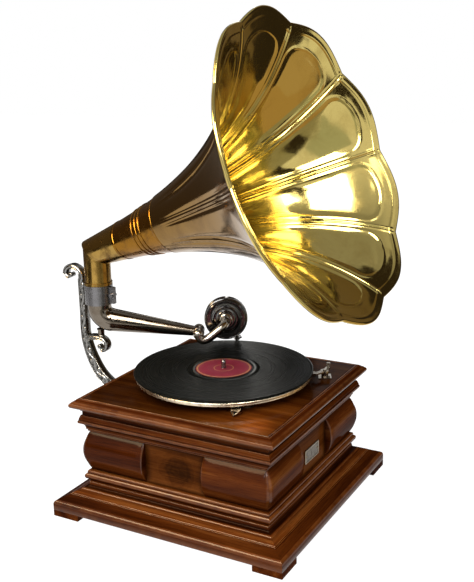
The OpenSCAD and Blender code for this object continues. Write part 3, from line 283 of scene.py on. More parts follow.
RAIL_TONES = [(0.013, 0.0024, 0.0004), (0.052, 0.0100, 0.0013), (0.104, 0.0235, 0.0032), (0.23, 0.075, 0.015)]
# Board tones: darker than the rails', partly as painted shade for the horn's shadow on the board.
BOARD_TONES_AND_SHADE = [(0.007, 0.0014, 0.0002), (0.021, 0.0047, 0.0005), (0.038, 0.0100, 0.0012),
               (0.070, 0.022, 0.0036)]
PANEL_TONES = [(0.026, 0.0072, 0.0012), (0.082, 0.0215, 0.0034), (0.135, 0.039, 0.0068), (0.20, 0.066, 0.014)]
BOLSTER_TONES = [(0.014, 0.0027, 0.0005), (0.052, 0.0100, 0.0015), (0.098, 0.0225, 0.0036),
                 (0.19, 0.060, 0.012)]
PLAIN_TONES = [(0.18, 0.1, 0.05), (0.30, 0.18, 0.09), (0.38, 0.24, 0.13), (0.46, 0.31, 0.18)]
ALONG_Y = (0, 0, pi / 2)
M = {
    "rail": wood("wood_rail", RAIL_TONES),
    "bolster": wood("wood_bolster", BOLSTER_TONES, seed=2.3, polish=0.11),
    # Board: two spots at its front corner are lightened as a painted glare.
    "board": wood("wood_board", BOARD_TONES_AND_SHADE, "Object", ALONG_Y, 0.4, 0.11,
                  painted_glare=(((-0.115, -0.12, 0.166), 0.02, 0.13, 3.5),
                          ((-0.119, -0.111, 0.166), 0.006, 0.032, 2.3))),
    "panel_x": wood("wood_panel_x", PANEL_TONES, "Object", (0, 0, 0), 0.9, painted_border_shade=0),
    "panel_y": wood("wood_panel_y", PANEL_TONES, "Object", ALONG_Y, 1.7,
                    spot=((-0.134, -0.0036, 0.086), 0.025), painted_border_shade=1),
    "foot": wood("wood_foot", RAIL_TONES, "Object", (0, 0, 0), 3.1),
    "grip": wood("wood_grip", BOLSTER_TONES, "Object", (0, 0, 0), 4.2, 0.4),
    "plain": wood("wood_plain", PLAIN_TONES, "Object", (0, 0, 0), 5.2, 0.0),
    "horn_in": metal("brass_polished", (0.60, 0.47, 0.15), (0.36, 0.24, 0.055), 0.06, 0.4, 24.0, 0.0012,
                     16.0),
    # Outside of the bell: a darker, rosier copy of the inside's brass; the darkness is painted shade for the
    # dimmer surroundings that the outside reflects.
    "horn_out": metal("brass_rose", (0.235, 0.135, 0.040), (0.14, 0.075, 0.026), 0.09, 0.5, 26.0, 0.0008,
                      14.0),
    "neck": metal("brass_aged", (0.25, 0.112, 0.011), (0.10, 0.046, 0.010), 0.12, 0.8, 45.0, 0.0006, 30.0),
    "elbow": metal("brass_elbow", (0.36, 0.22, 0.053), (0.09, 0.044, 0.010), 0.12, 0.8, 38.0, 0.0005, 24.0),
    "arm": metal("pewter_arm", (0.178, 0.15, 0.118), (0.10, 0.07, 0.045), 0.09, 0.6, 40.0, 0.0004, 25.0),
    "nickel": metal("nickel_worn", (0.33, 0.295, 0.245), (0.14, 0.10, 0.065), 0.09, 0.5, 40.0, 0.0004, 25.0),
    "cast": metal("nickel_cast", (0.25, 0.243, 0.228), (0.11, 0.103, 0.092), 0.13, 0.5, 160.0, 0.0002, 220.0,
                  relief=True),
    "dark": metal("chrome_dark", (0.16, 0.155, 0.15), (0.05, 0.045, 0.04), 0.08, 0.4, 60.0),
    "steel": metal("steel_brushed", (0.19, 0.185, 0.188), (0.10, 0.095, 0.095), 0.2, 0.25, 50.0,
                   brush=(30, 30, 1800)),
    "rim": metal("rim_tarnished", (0.82, 0.70, 0.53), (0.30, 0.22, 0.14), 0.18, 0.75, 90.0),
    "gear": metal("brass_gear", (0.72, 0.52, 0.20), (0.36, 0.23, 0.08), 0.22, 0.5, 60.0),
    "plate": metal("bronze_plate", (0.30, 0.25, 0.18), (0.10, 0.08, 0.06), 0.22, 0.6, 160.0, relief=True),
}


def shellac():
    """Black record: fine grooves that stretch its highlights round the middle, and bands of music."""
    g = Surface("record_black")
    r = g.radius()
    bands = g.noise(g.node("CombineXYZ", {0: g.mul(r, 260.0)}), 1.0, 3.0, 0.6)
    dust = g.noise(g.coords(), 300.0, 4.0, 0.7)
    tint = g.mix(g.span(bands, 0.35, 0.7), (0.002, 0.0022, 0.0018), (0.005, 0.0055, 0.0045))
    tint = g.mix(g.span(dust, 0.66, 0.8, 0.0, 0.3), tint, (0.12, 0.12, 0.11))
    grooved = g.mul(g.span(r, 0.049, 0.051), g.span(r, 0.1222, 0.1212))
    g.set(Base_Color=tint, Anisotropic=0.8, Specular_IOR_Level=0.042,
          Roughness=g.math("ADD", g.mul(grooved, 0.08), g.span(bands, 0.3, 0.7, 0.14, 0.22)),
          Tangent=g.node("Tangent", direction_type="RADIAL", axis="Z"))
    groove = g.mul(g.math("SINE", g.mul(r, 9000.0)), grooved)
    g.bump(g.math("ADD", g.mul(groove, 0.4), bands), 0.25, 0.00012)
    return g.owner


def label_paper():
    """Crimson paper with plain gold rings, and no words."""
    g = Surface("label_crimson")
    p = g.coords()
    r = g.radius()
    fibres = g.noise(p, 900.0, 4.0, 0.7)
    cloud = g.noise(p, 60.0, 3.0)
    tint = g.mix(g.span(cloud, 0.35, 0.7), (0.155, 0.006, 0.020), (0.215, 0.010, 0.031))
    tint = g.mix(g.span(fibres, 0.6, 0.8, 0.0, 0.25), tint, (0.5, 0.12, 0.1))
    gold = 0.0
    for at, wide in ((0.0372, 0.0004), (0.0362, 0.00025), (0.0135, 0.0004)):
        line = g.span(g.math("ABSOLUTE", g.math("SUBTRACT", r, at)), wide, wide * 0.5)
        gold = g.math("MAXIMUM", gold, line)
    tint = g.mix(g.mul(gold, 0.85), tint, (0.62, 0.42, 0.12))
    g.set(Base_Color=tint, Roughness=0.5, Specular_IOR_Level=0.15, Coat_Weight=0.05, Coat_Roughness=0.3)
    g.bump(fibres, 0.2, 0.0002)
    return g.owner


def felt():
    """Green felt of the mat under the record."""
    g = Surface("felt_green")
    fuzz = g.noise(g.coords(), 1400.0, 4.0, 0.7)
    tint = g.mix(fuzz, (0.012, 0.022, 0.010), (0.035, 0.055, 0.028))
    g.set(Base_Color=tint, Roughness=0.95, Sheen_Weight=0.4, Sheen_Roughness=0.5)
    g.bump(fuzz, 0.8, 0.0006)
    return g.owner


def mica():
    """Flaky sheet of the soundbox's diaphragm."""
    g = Surface("mica_sheet")
    flakes = g.noise(g.mapped(g.coords(), (1, 1, 3)), 120.0, 4.0, 0.65)
    tint = g.mix(flakes, (0.42, 0.38, 0.28), (0.62, 0.6, 0.5))
    g.set(Base_Color=tint, Roughness=g.span(flakes, 0.3, 0.7, 0.12, 0.3), Transmission_Weight=0.25, IOR=1.55)
    g.bump(flakes, 0.15, 0.0004)
    return g.owner


M.update(record=shellac(), label=label_paper(), felt=felt(), mica=mica())


# Mesh tools
class Shape:
    """Gathers points in millimetres and faces, with a material, texture place and edge value each."""

    def __init__(self):
        self.points, self.faces, self.mats, self.uvs, self.edges = [], [], [], [], []
        self.count = 0

    def add(self, points, faces, mat=0, uv=None, edge=None):
        points = np.asarray(points, float).reshape(-1, 3)
        n = len(points)
        self.points.append(points)
        self.faces += [tuple(int(i) + self.count for i in f) for f in faces]
        self.mats += list(mat) if np.ndim(mat) else [mat] * len(faces)
        self.uvs.append(np.zeros((n, 2)) if uv is None else np.asarray(uv, float).reshape(-1, 2))
        self.edges.append(np.zeros(n) if edge is None else np.asarray(edge, float).reshape(-1))
        self.count += n

    def build(self, name, body, mats, replaced=(), sharp=35):
        """Makes the piece, rides it on its body and hides the nodes that it stands for."""
        me = bpy.data.meshes.new(name)
        me.from_pydata((np.concatenate(self.points) * MM).tolist(), [], self.faces)
        for m in mats:
            me.materials.append(M[m])
        me.polygons.foreach_set("material_index", np.array(self.mats, np.int32))
        me.update()
        bm = bmesh.new()
        bm.from_mesh(me)
        bmesh.ops.recalc_face_normals(bm, faces=bm.faces)
        bm.to_mesh(me)
        bm.free()
        me.polygons.foreach_set("use_smooth", np.ones(len(me.polygons), bool))
        loops = np.zeros(len(me.loops), np.int32)
        me.loops.foreach_get("vertex_index", loops)
        layer = me.uv_layers.new(name="UVMap")
        layer.data.foreach_set("uv", (np.concatenate(self.uvs)[loops] * MM).ravel())
        attr = me.attributes.new("edge", "FLOAT", "POINT")
        attr.data.foreach_set("value", np.concatenate(self.edges).astype(np.float32))
        me.set_sharp_from_angle(angle=radians(sharp))
        o = placed(name, me)
        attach(o, body)
        if replaced:
            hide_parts(*replaced)


def grid(rows, cols, wrap=False):
    """Faces between rows of points, each row a closed ring; wrap joins the last row to the first."""
    r, c = np.meshgrid(np.arange(rows if wrap else rows - 1), np.arange(cols), indexing="ij")
    r2, c2 = (r + 1) % rows, (c + 1) % cols
    return np.stack([r * cols + c, r * cols + c2, r2 * cols + c2, r2 * cols + c], -1).reshape(-1, 4).tolist()


def capped(rows, cols):
    """Faces of a tube of rows of points, closed at both ends."""
    return grid(rows, cols) + [list(range(cols)), list(range((rows - 1) * cols, rows * cols))]


def lathe(shape, profile, origin, axis, side, segs, closed=True, wobble=None):
    """Turns a profile of (radius, height) points round an axis. A closed profile makes a ring."""
    profile = np.asarray(profile, float)
    third = np.cross(axis, side)
    a = np.linspace(0, 2 * pi, segs, endpoint=False)
    ring = np.cos(a)[:, None] * np.asarray(side) + np.sin(a)[:, None] * third
    rows = []
    for r, h in profile:
        rr = r if wobble is None else r + wobble(r, a)
        rows.append(np.asarray(origin) + h * np.asarray(axis) + (np.ones(segs) * rr)[:, None] * ring)
    shape.add(rows, grid(len(rows), segs, True) if closed else capped(len(rows), segs))


def sweep(shape, path, radii, segs):
    """A round tube along a path, closed at both ends."""
    path = np.asarray(path, float)
    radii = np.broadcast_to(np.asarray(radii, float), (len(path),))
    tangents = np.gradient(path, axis=0)
    tangents /= np.linalg.norm(tangents, axis=1)[:, None]
    side = np.cross(tangents[0], [0.3, 0.2, 0.93])
    side /= np.linalg.norm(side)
    a = np.linspace(0, 2 * pi, segs, endpoint=False)
    rows = []
    for p, t, r in zip(path, tangents, radii):
        side = side - t * (side @ t)
        side /= np.linalg.norm(side)
        rows.append(p + r * (np.cos(a)[:, None] * side + np.sin(a)[:, None] * np.cross(t, side)))
    shape.add(rows, capped(len(rows), segs))


def through(points, n):
    """A smooth curve through control points of any number of values."""
    p = np.asarray(points, float)
    out = []
    last = len(p) - 1
    for i in range(last):
        p0, p1, p2, p3 = p[max(i - 1, 0)], p[i], p[i + 1], p[min(i + 2, last)]
        for k in range(n):
            s = k / n
            out.append(0.5 * (2 * p1 + (p2 - p0) * s + (2 * p0 - 5 * p1 + 4 * p2 - p3) * s * s
                              + (3 * p1 - p0 - 3 * p2 + p3) * s ** 3))
    out.append(p[last])
    return np.array(out)


def arc(cx, cy, r, a0, a1, n=10):
    """Points along a circle, its angles in degrees."""
    a = np.radians(np.linspace(a0, a1, n + 1))
    return [(cx + r * cos(t), cy + r * sin(t)) for t in a]


def rounded(points, r, steps=3):
    """A closed outline with each corner cut to a small round."""
    p = [np.asarray(q, float) for q in points]
    out = []
    for i, b in enumerate(p):
        a, c = p[i - 1], p[(i + 1) % len(p)]
        u, v = a - b, c - b
        lu, lv = np.linalg.norm(u), np.linalg.norm(v)
        turn = acos(max(-1, min(1, -(u @ v) / (lu * lv))))
        if turn < radians(14):
            out.append(b)
            continue
        d = min(r, 0.4 * lu, 0.4 * lv)
        q0, q1 = b + u / lu * d, b + v / lv * d
        for k in range(steps + 1):
            s = k / steps
            out.append((1 - s) ** 2 * q0 + 2 * s * (1 - s) * b + s * s * q1)
    return np.array(out)


def lengths(line):
    """How far along a line each of its points lies."""
    return np.concatenate([[0], np.cumsum(np.linalg.norm(np.diff(line, axis=0), axis=1))])


def winding(outline):
    """1 where a closed outline runs anticlockwise, and -1 otherwise."""
    ahead = np.roll(outline, -1, 0)
    return np.sign((outline[:, 0] * ahead[:, 1] - ahead[:, 0] * outline[:, 1]).sum())


def bend_of(outline):
    """How sharply a closed outline turns at each point, from -1 to 1: above 0 where it stands out."""
    u, v = outline - np.roll(outline, 1, 0), np.roll(outline, -1, 0) - outline
    turn = np.arctan2(u[:, 0] * v[:, 1] - u[:, 1] * v[:, 0], (u * v).sum(1))
    return np.clip(turn * winding(outline) * 2.2, -1, 1)


def four_turns(points):
    """The points turned to each of the case's sides, with the side's number."""
    p = np.asarray(points, float).reshape(-1, 3)
    for k in range(4):
        c, s = (1, 0, -1, 0)[k], (0, 1, 0, -1)[k]
        yield k, np.stack([c * p[:, 0] - s * p[:, 1], s * p[:, 0] + c * p[:, 1], p[:, 2]], 1)


# Case: each moulding's outline of (reach from the panel, height)
plinth = ([(0, Z_PLINTH), (PLINTH_REACH, Z_PLINTH), (PLINTH_REACH, Z_PLINTH + 9)]
          + arc(PLINTH_REACH - 6, Z_PLINTH + 9, 6, 5, 78)
          + [(24, 28.2), (23.4, 29.4), (22.6, 29.0), (22, 30.2), (13.2, 33.2)]
          + arc(9.8, 32.4, 3.2, 20, 90, 8)
          + [(6, 35.9), (4.4, 37.6), (4, Z_LOWER), (0, Z_LOWER)])
lower = ([(0, Z_LOWER), (3, Z_LOWER), (3, Z_LOWER + 3.8)] + arc(4, Z_LOWER + 9, 4.6, -80, 70, 14)
         + [(4.4, Z_FRIEZE - 4.4), (5.4, Z_FRIEZE - 4), (5.4, Z_FRIEZE - 1.6), (3.4, Z_FRIEZE),
            (0, Z_FRIEZE)])
upper = ([(0, Z_UPPER), (2.6, Z_UPPER), (2.6, Z_UPPER + 2.4), (4.2, Z_UPPER + 3), (4.2, Z_UPPER + 5)]
         + arc(11.6, Z_UPPER + 5, 7.2, 172, 100, 8)
         + [(UPPER_REACH - 0.2, Z_UPPER + 12.8), (UPPER_REACH, Z_UPPER + 15.6),
            (UPPER_REACH - 1.2, Z_UPPER + 17), (UPPER_REACH - 1.4, Z_UPPER + 19),
            (UPPER_REACH - 3.4, Z_UPPER + 23.8), (6.8, Z_UPPER + 24.6), (6.8, Z_TOP), (0, Z_TOP)])
frame_in, ledge_in = BOARD_HALF - HALF + SEAM, BOARD_HALF - HALF - LEDGE
top = ([(ledge_in, Z_TOP), (8.5, Z_TOP), (9, Z_TOP + 2.5), (13.5, Z_TOP + 4.6)]
       + arc(TOP_REACH - 4, Z_TOP + 9.2, 4, -80, 40)
       + [(TOP_REACH - 3.7, Z_BOARD - 3.8), (TOP_REACH - 7, Z_BOARD - 1.75), (10.8, Z_BOARD - 0.3),
          (9.6, Z_BOARD), (9.2, Z_BOARD - 0.9), (8.5, Z_BOARD - 0.9), (8.1, Z_BOARD),
          (frame_in + 0.7, Z_BOARD), (frame_in, Z_BOARD - 0.9), (frame_in, Z_UNDER), (ledge_in, Z_UNDER)])
PROFILES = [np.array(p) for p in (plinth, lower, upper, top, [(0, Z_FRIEZE), (0, Z_UPPER)])]


def hidden(outline, rays=24, reach=70.0):
    """The share of each point's open side that the case's mouldings hide from it, painted on the rails as
    shade.
    """
    starts = np.concatenate([p[:-1] for p in PROFILES])
    runs = np.concatenate([np.diff(p, axis=0) for p in PROFILES])
    ahead = np.roll(outline, -1, 0) - np.roll(outline, 1, 0)
    out = np.stack([ahead[:, 1], -ahead[:, 0]], 1)
    out *= winding(outline) / np.maximum(np.linalg.norm(out, axis=1), 1e-6)[:, None]
    turn = np.linspace(-1.45, 1.45, rays)
    c, s = np.cos(turn), np.sin(turn)
    shares = []
    for p, n in zip(outline + 0.15 * out, out):
        way = np.stack([n[0] * c - n[1] * s, n[0] * s + n[1] * c], 1)
        across = way[:, None, 0] * runs[None, :, 1] - way[:, None, 1] * runs[None, :, 0]
        across = np.where(np.abs(across) < 1e-9, 1e-9, across)
        gap = starts - p
        far = (gap[None, :, 0] * runs[None, :, 1] - gap[None, :, 1] * runs[None, :, 0]) / across
        along = (gap[None, :, 0] * way[:, None, 1] - gap[None, :, 1] * way[:, None, 0]) / across
        hit = ((far > 0.05) & (far < reach) & (along >= 0) & (along <= 1)).any(1)
        shares.append((hit * c).sum() / c.sum())
    return np.array(shares)


def rails(name, outline, node, r, slip=0.0):
    """Four mitred lengths with the given outline; slip moves the grain along."""
    outline = rounded(outline, r)
    run = lengths(outline)
    # Painted shade: points that the mouldings hide get a lower edge value, which darkens the wood there.
    edge = bend_of(outline) - 1.3 * np.maximum(hidden(outline) - 0.12, 0)
    shape = Shape()
    rows = np.linspace(-1, 1, 9)
    d = HALF + outline[:, 0]
    base = [np.stack([s * (d - SEAM), -d, outline[:, 1]], 1) for s in rows]
    for k, points in four_turns(base):
        uv = [np.stack([s * d + RAIL_STEP[0] * k + slip, run + RAIL_STEP[1] * k], 1) for s in rows]
        shape.add(points, capped(len(rows), len(outline)), 0, uv, np.tile(edge, len(rows)))
    shape.build(name, "case", ["rail"], [node])


rails("plinth", plinth, "plinth_rails", 1.0)
rails("moulding_lower", lower, "lower_mouldings", 0.5, slip=300)
rails("moulding_upper", upper, "upper_mouldings", 0.5, slip=1100)
rails("top_border", top, "top_frame", 0.7, slip=1900)


def bolsters():
    """Bulging corner pads, with a rounded end towards the panel and a rounded corner."""
    h = Z_UPPER - Z_FRIEZE
    r = (h * h / 4 + BULGE * BULGE) / (2 * BULGE)
    a = degrees(asin(h / 2 / r))
    section = np.array(arc(BULGE - r, Z_FRIEZE + h / 2, r, -a, a, 30))
    n = len(section)
    run = np.linspace(0, h * 1.1, n)
    # Painted shade where the pad meets the mouldings above and below.
    meeting_shade = 0.7 * np.abs(np.linspace(-1, 1, n)) ** 6
    curve = np.minimum(9.0, 1.2 * section[:, 0])
    start, inset = FRIEZE_GAP / 2, 2.2
    # Each stop: place along the side, cut of the end's round, share of the way to the corner, turn round it
    stops = [(start + x, cut, None, 0.0) for x, cut in ((0.0, 2.4), (0.3, 1.3), (1.0, 0.5), (inset, 0.0))]
    stops += [(start + inset, 0.0, f, 0.0) for f in np.linspace(0.1, 1, 8)]
    stops += [(start + inset, 0.0, 1.0, turn) for turn in np.linspace(0, pi / 4, 6)[1:]]
    shape = Shape()
    for side in (-1, 1):
        rows, uvs, edges = [], [], []
        for x, cut, f, turn in stops:
            reach = np.maximum(section[:, 0] - cut, 0.0)
            far = HALF + reach - SEAM - curve
            xs = np.full(n, x) if f is None else x + (far - x) * f + curve * sin(turn)
            rows.append(np.stack([side * xs, -HALF - reach + curve * (1 - cos(turn)), section[:, 1]], 1))
            uvs.append(np.stack([side * xs, run], 1))
            worn = 0.5 if 0.2 < cut < 2 else 0.35 if turn > 0.4 else 0.0
            edges.append(np.full(n, worn) * (section[:, 0] > 2) - meeting_shade)
        for k, points in four_turns(rows):
            uv = np.concatenate(uvs) + np.array(PAD_STEP) * (2 * k + side)
            shape.add(points, capped(len(stops), n), 0, uv, edges)
    shape.build("bolsters", "case", ["bolster"], ["corner_bolsters"])


bolsters()


def tablet(shape, half_w, half_h, z, facing, steps, round_r, cuts, crest, low):
    """A plate on the case's front (-1) or back (1), by steps of (inset, lift); lifts above crest are worn."""
    rows, edge = [], []
    for inset, lift in steps:
        w, h = half_w - inset, half_h - inset
        ring = rounded([(w, h), (-w, h), (-w, -h), (w, -h)], round_r, cuts)
        n = len(ring)
        rows.append(np.stack([ring[:, 0], np.full(n, facing * (HALF + lift)), z + ring[:, 1]], 1))
        edge.append(np.full(n, 0.5 if lift > crest else low))
    shape.add(rows, capped(len(rows), n), 0, None, edge)


def name_plate():
    """Blank bronze plate with a raised border and two pins."""
    half_w, half_h, z = 22.0, 10.0, Z_FRIEZE + 24.5
    shape = Shape()
    steps = [(0.0, 0.0), (0.0, 1.1), (0.5, 1.5), (1.6, 1.5), (2.1, 0.9)]
    tablet(shape, half_w, half_h, z, -1, steps, 1.2, 4, 1.2, -0.2)
    pin = [(1.5, 0.8), (1.5, 1.2), (1.1, 1.7), (0.4, 1.95)]
    for s in (-1, 1):
        lathe(shape, pin, (s * (half_w - 4.5), -HALF, z), (0, -1, 0), (1, 0, 0), 20, closed=False)
    shape.build("plate_blank", "case", ["plate"], ["name_plate"])


name_plate()


# Turntable
def turned(name, profile, mat, node, segs, sharp=35):
    """A piece of the turntable, turned round its axis."""
    shape = Shape()
    lathe(shape, profile, (0, 0, 0), UP, (1, 0, 0), segs)
    shape.build(name, "turntable", [mat], [node], sharp)


def turntable():
    """The record with its sunk grooves, its label, and the platter with a beaded rim."""
    r, z, sunk = RECORD_R, RECORD_TOP, RECORD_TOP - 0.18
    face = [(HOLE_R, RECORD_Z), (r - 0.8, RECORD_Z), (r - 0.2, RECORD_Z + 0.4), (r, RECORD_Z + 1.0),
            (r - 0.1, z - 0.5), (r - 0.7, z - 0.05), (r - 2.2, z), (r - 3.2, sunk)]
    face += [(r - 3.6 - k / 35 * 70.0, sunk) for k in range(36)]
    face += [(50.6, sunk), (49.8, z - 0.02), (46.0, z), (41.2, z), (40.6, z - 0.15), (39.6, z - 0.15),
             (39.2, z), (HOLE_R, z)]
    turned("record_disc", face, "record", "record", 192, 50)
    r, t = LABEL_R, LABEL_TOP
    label = [(HOLE_R, z), (r, z), (r, t - 0.05), (r - 0.15, t), (20, t), (HOLE_R, t)]
    turned("label_disc", label, "label", "record_label", 128)
    r, z0, z1 = PLATTER_R, PLATTER_LOW, PLATTER_TOP
    rim = [(HUB_R, z1 - 10.5), (12.6, z1 - 10.5), (14, z1 - 9.2), (14, z1 - 5), (16.5, z1 - 3),
           (r - 10, z1 - 3), (r - 5, z1 - 3.6), (r - 4, z0 + 0.6), (r - 3.4, z0), (r - 1.4, z0)]
    rim += arc(r - 1.5, z0 + 1.5, 1.5, -90, 0, 6) + [(r - 0.35, z0 + 2.1), (r - 0.35, z0 + 2.7)]
    rim += [(r, z0 + 3.0)] + arc(r - 1.6, z1 - 1.6, 1.6, 0, 90, 6) + [(HUB_R, z1)]
    turned("platter_turned", rim, "rim", "platter", 192, 40)


turntable()


# Tonearm, gooseneck and soundbox
def arm_point(a, b, z):
    """A place along the arm, across it and at a height."""
    return PIVOT + a * E + b * N + z * UP


def tonearm():
    """Tapered tube with its elbow, the hinge's barrel and the foot that stands on the bracket."""
    shape = Shape()
    path, radii = [], []
    for z, r in ((12.5, 19.54), (6.5, 19.54), (0.2, 19.54), (-0.3, 19.2), (-0.6, 18.3), (-0.8, 17.7)):
        path.append(arm_point(0, 0, COLLAR_Z + z))
        radii.append(r)
    for t in np.linspace(0, TURN, 25):
        path.append(arm_point(BEND * (1 - cos(t)), 0, ELBOW_TOP - BEND * sin(t)))
        radii.append(ELBOW_R)
    for s in (0.02, 0.06, 0.12, 0.25, 0.4, 0.55, 0.7, 0.82, 0.9, 0.955):
        path.append(arm_point(TUBE_X + s * (ARM_REACH - TUBE_X), 0, TUBE_Z + s * (HINGE_Z - TUBE_Z)))
        radii.append(17.3 + (7.2 - 17.3) * min(1, s * 1.02))
    sweep(shape, path, radii, 64)
    half = [(5.06, -8), (7.6, -8), (8.2, -7.6), (8.5, -6.8), (8.5, -5.6), (8.2, -5.2)]
    barrel = half + [(r, -h) for r, h in reversed(half)]
    lathe(shape, barrel, arm_point(ARM_REACH, 0, HINGE_Z), N, UP, 48)
    z = BRANCH_Z + 1.5
    foot = [(2.5, z), (4.6, z), (5, z + 0.4), (5, z + 6), (6.5, z + 9), (2.5, z + 9)]
    lathe(shape, foot, PIVOT, UP, E, 32)
    shape.build("arm_tube", "arm", ["arm"], ["tonearm"], 40)


tonearm()


def gooseneck():
    """Bent tube from the hinge to the soundbox, with a domed cap, a knurled ring and a collar."""
    shape = Shape()
    z = HINGE_Z
    pts = [(ARM_REACH, -16, z), (147.5, -16, z - 5), (152, -15.8, z - 8.6), (159, -15.2, z - 7),
           (168, -14.2, z - 1.2), (178, -12.6, z + 6.8), (184, -9, z + 12.4), (186.6, -3.5, z + 14.7),
           (BOX_A, 3, BOX_Z), (BOX_A, BOX_BACK, BOX_Z)]
    sweep(shape, [arm_point(*p) for p in through(pts, 10)], 6.5, 40)
    hinge = arm_point(ARM_REACH, 0, HINGE_Z)
    dome = [(5.0, 14.0), (5.0, -7.0), (7.4, -8.3), (7.9, -8.9), (7.9, -13), (8.1, -16)]
    dome += [(8.1 * cos(t), -16 - 6.2 * sin(t)) for t in np.linspace(0.12, 1.5, 9)]
    lathe(shape, dome, hinge, N, UP, 48, closed=False)
    teeth = lambda r, a: np.where(r > 7, 0.35 * np.abs(np.sin(a * 20)), 0.0)
    ring = [(5.0, 8.3), (7.6, 8.3), (8.15, 8.9), (8.15, 12.7), (7.6, 13.3), (5.0, 13.3)]
    lathe(shape, ring, hinge, N, UP, 160, wobble=teeth)
    centre = arm_point(BOX_A, 0, BOX_Z)
    collar = [(6.3, 0.6), (7.6, 0.6), (8.1, 1.2), (8.1, 2.6), (7.7, 3.2), (7.7, 3.8), (9.6, 4.4), (10.2, 5.2),
              (10.2, 7.4), (9.6, 8.2), (9.6, 8.95), (6.3, 8.95)]
    lathe(shape, collar, centre, N, UP, 56)
    shape.build("neck_tube", "head", ["nickel"], ["gooseneck"], 40)


gooseneck()


def soundbox():
    """Turned body with rings on its back, a groove round its side and three screws."""
    shape = Shape()
    r, t = BOX_R, BOX_T
    back = [(0.5, 0.0), (12.6, 0.0), (13.2, 0.5), (13.4, 1.3), (14.6, 1.8), (17.4, 1.7), (18.2, 0.5),
            (19.4, 0.0), (20.6, 0.4), (21.2, 1.4), (24.5, 1.9), (27.3, 1.5), (28.6, 1.55), (29.4, 2.2),
            (29.9, 2.7), (30.3, 2.2)]
    back += arc(r - 2.6, 4.6, 2.6, -80, 0, 6) + [(r, 6.2), (r - 0.7, 6.7), (r - 0.7, 7.3), (r, 7.8)]
    back += arc(r - 2, t - 2, 2, 0, 90, 6)
    back += [(r - 6.2, t), (r - 7, t - 0.8), (r - 7, t - 3), (r - 4, t - 3), (r - 4, t - 5), (r - 7, t - 5),
             (r - 7, 4), (0.5, 4)]
    lathe(shape, back, arm_point(BOX_A, BOX_BACK, BOX_Z), N, UP, 96)
    screw, screw_r = [(1.9, 0.9), (1.9, -0.3), (1.5, -0.8), (0.3, -1.0)], 23.6
    for k in range(3):
        a = radians(90 + 120 * k + 35)
        at = arm_point(BOX_A + screw_r * cos(a), BOX_BACK + 1.9, BOX_Z + screw_r * sin(a))
        lathe(shape, screw, at, N, UP, 20, closed=False)
    shape.build("reproducer", "head", ["dark"], ["soundbox"])


soundbox()


def speed_leaf():
    """Thin lever that rises from its post and ends in a leaf bent down to the board."""
    shape = Shape()
    centre, angle = np.array([-64.0, -70.0, 0.0]), radians(186)
    way = np.array([cos(angle), sin(angle), 0.0])
    across = np.array([-way[1], way[0], 0.0])
    # Place along the lever, height and half width
    c = through([(-5, 169.6, 2.4), (0, 169.6, 5.4), (6, 169.6, 2.6), (18, 170.4, 2.5), (26, 173.0, 2.8),
                 (31, 173.8, 5.0), (35, 173.2, 6.4), (40, 171.2, 5.2), (44, 169.0, 2.4), (46, 168.0, 0.4)], 6)
    q = np.linspace(-1, 1, 9)
    rows = []
    for along, z, half in c:
        line = centre + along * way + (q * half)[:, None] * across + (z + 0.6 * q ** 2)[:, None] * UP
        rows.append(np.concatenate([line, line[::-1] - 1.1 * UP]))
    shape.add(rows, capped(len(rows), 2 * len(q)))
    post = [(0.3, 166.8), (3.0, 166.8), (3.0, 170.2), (2.2, 170.9), (0.3, 171.1)]
    lathe(shape, post, centre, UP, (1, 0, 0), 28)
    shape.build("lever_leaf", "speed", ["nickel"], sharp=50)


speed_leaf()


# Horn
def horn_r(t):
    """The horn's radius at a distance along its axis."""
    return FLARE_BASE + FLARE * np.exp(t / RATE) + (MOUTH_R - FLARE_END) * (t / HORN_L) ** 10


def smooth(x, a, b):
    """A smooth step from 0 at a to 1 at b."""
    s = np.clip((x - a) / (b - a), 0, 1)
    return s * s * (3 - 2 * s)


def horn_points(t, r, a):
    """Points at distances along the horn's axis, radii and angles."""
    t, r, a = np.broadcast_arrays(t, r, a)
    return MITRE + t[..., None] * AX + r[..., None] * (np.cos(a)[..., None] * HX + np.sin(a)[..., None] * HY)


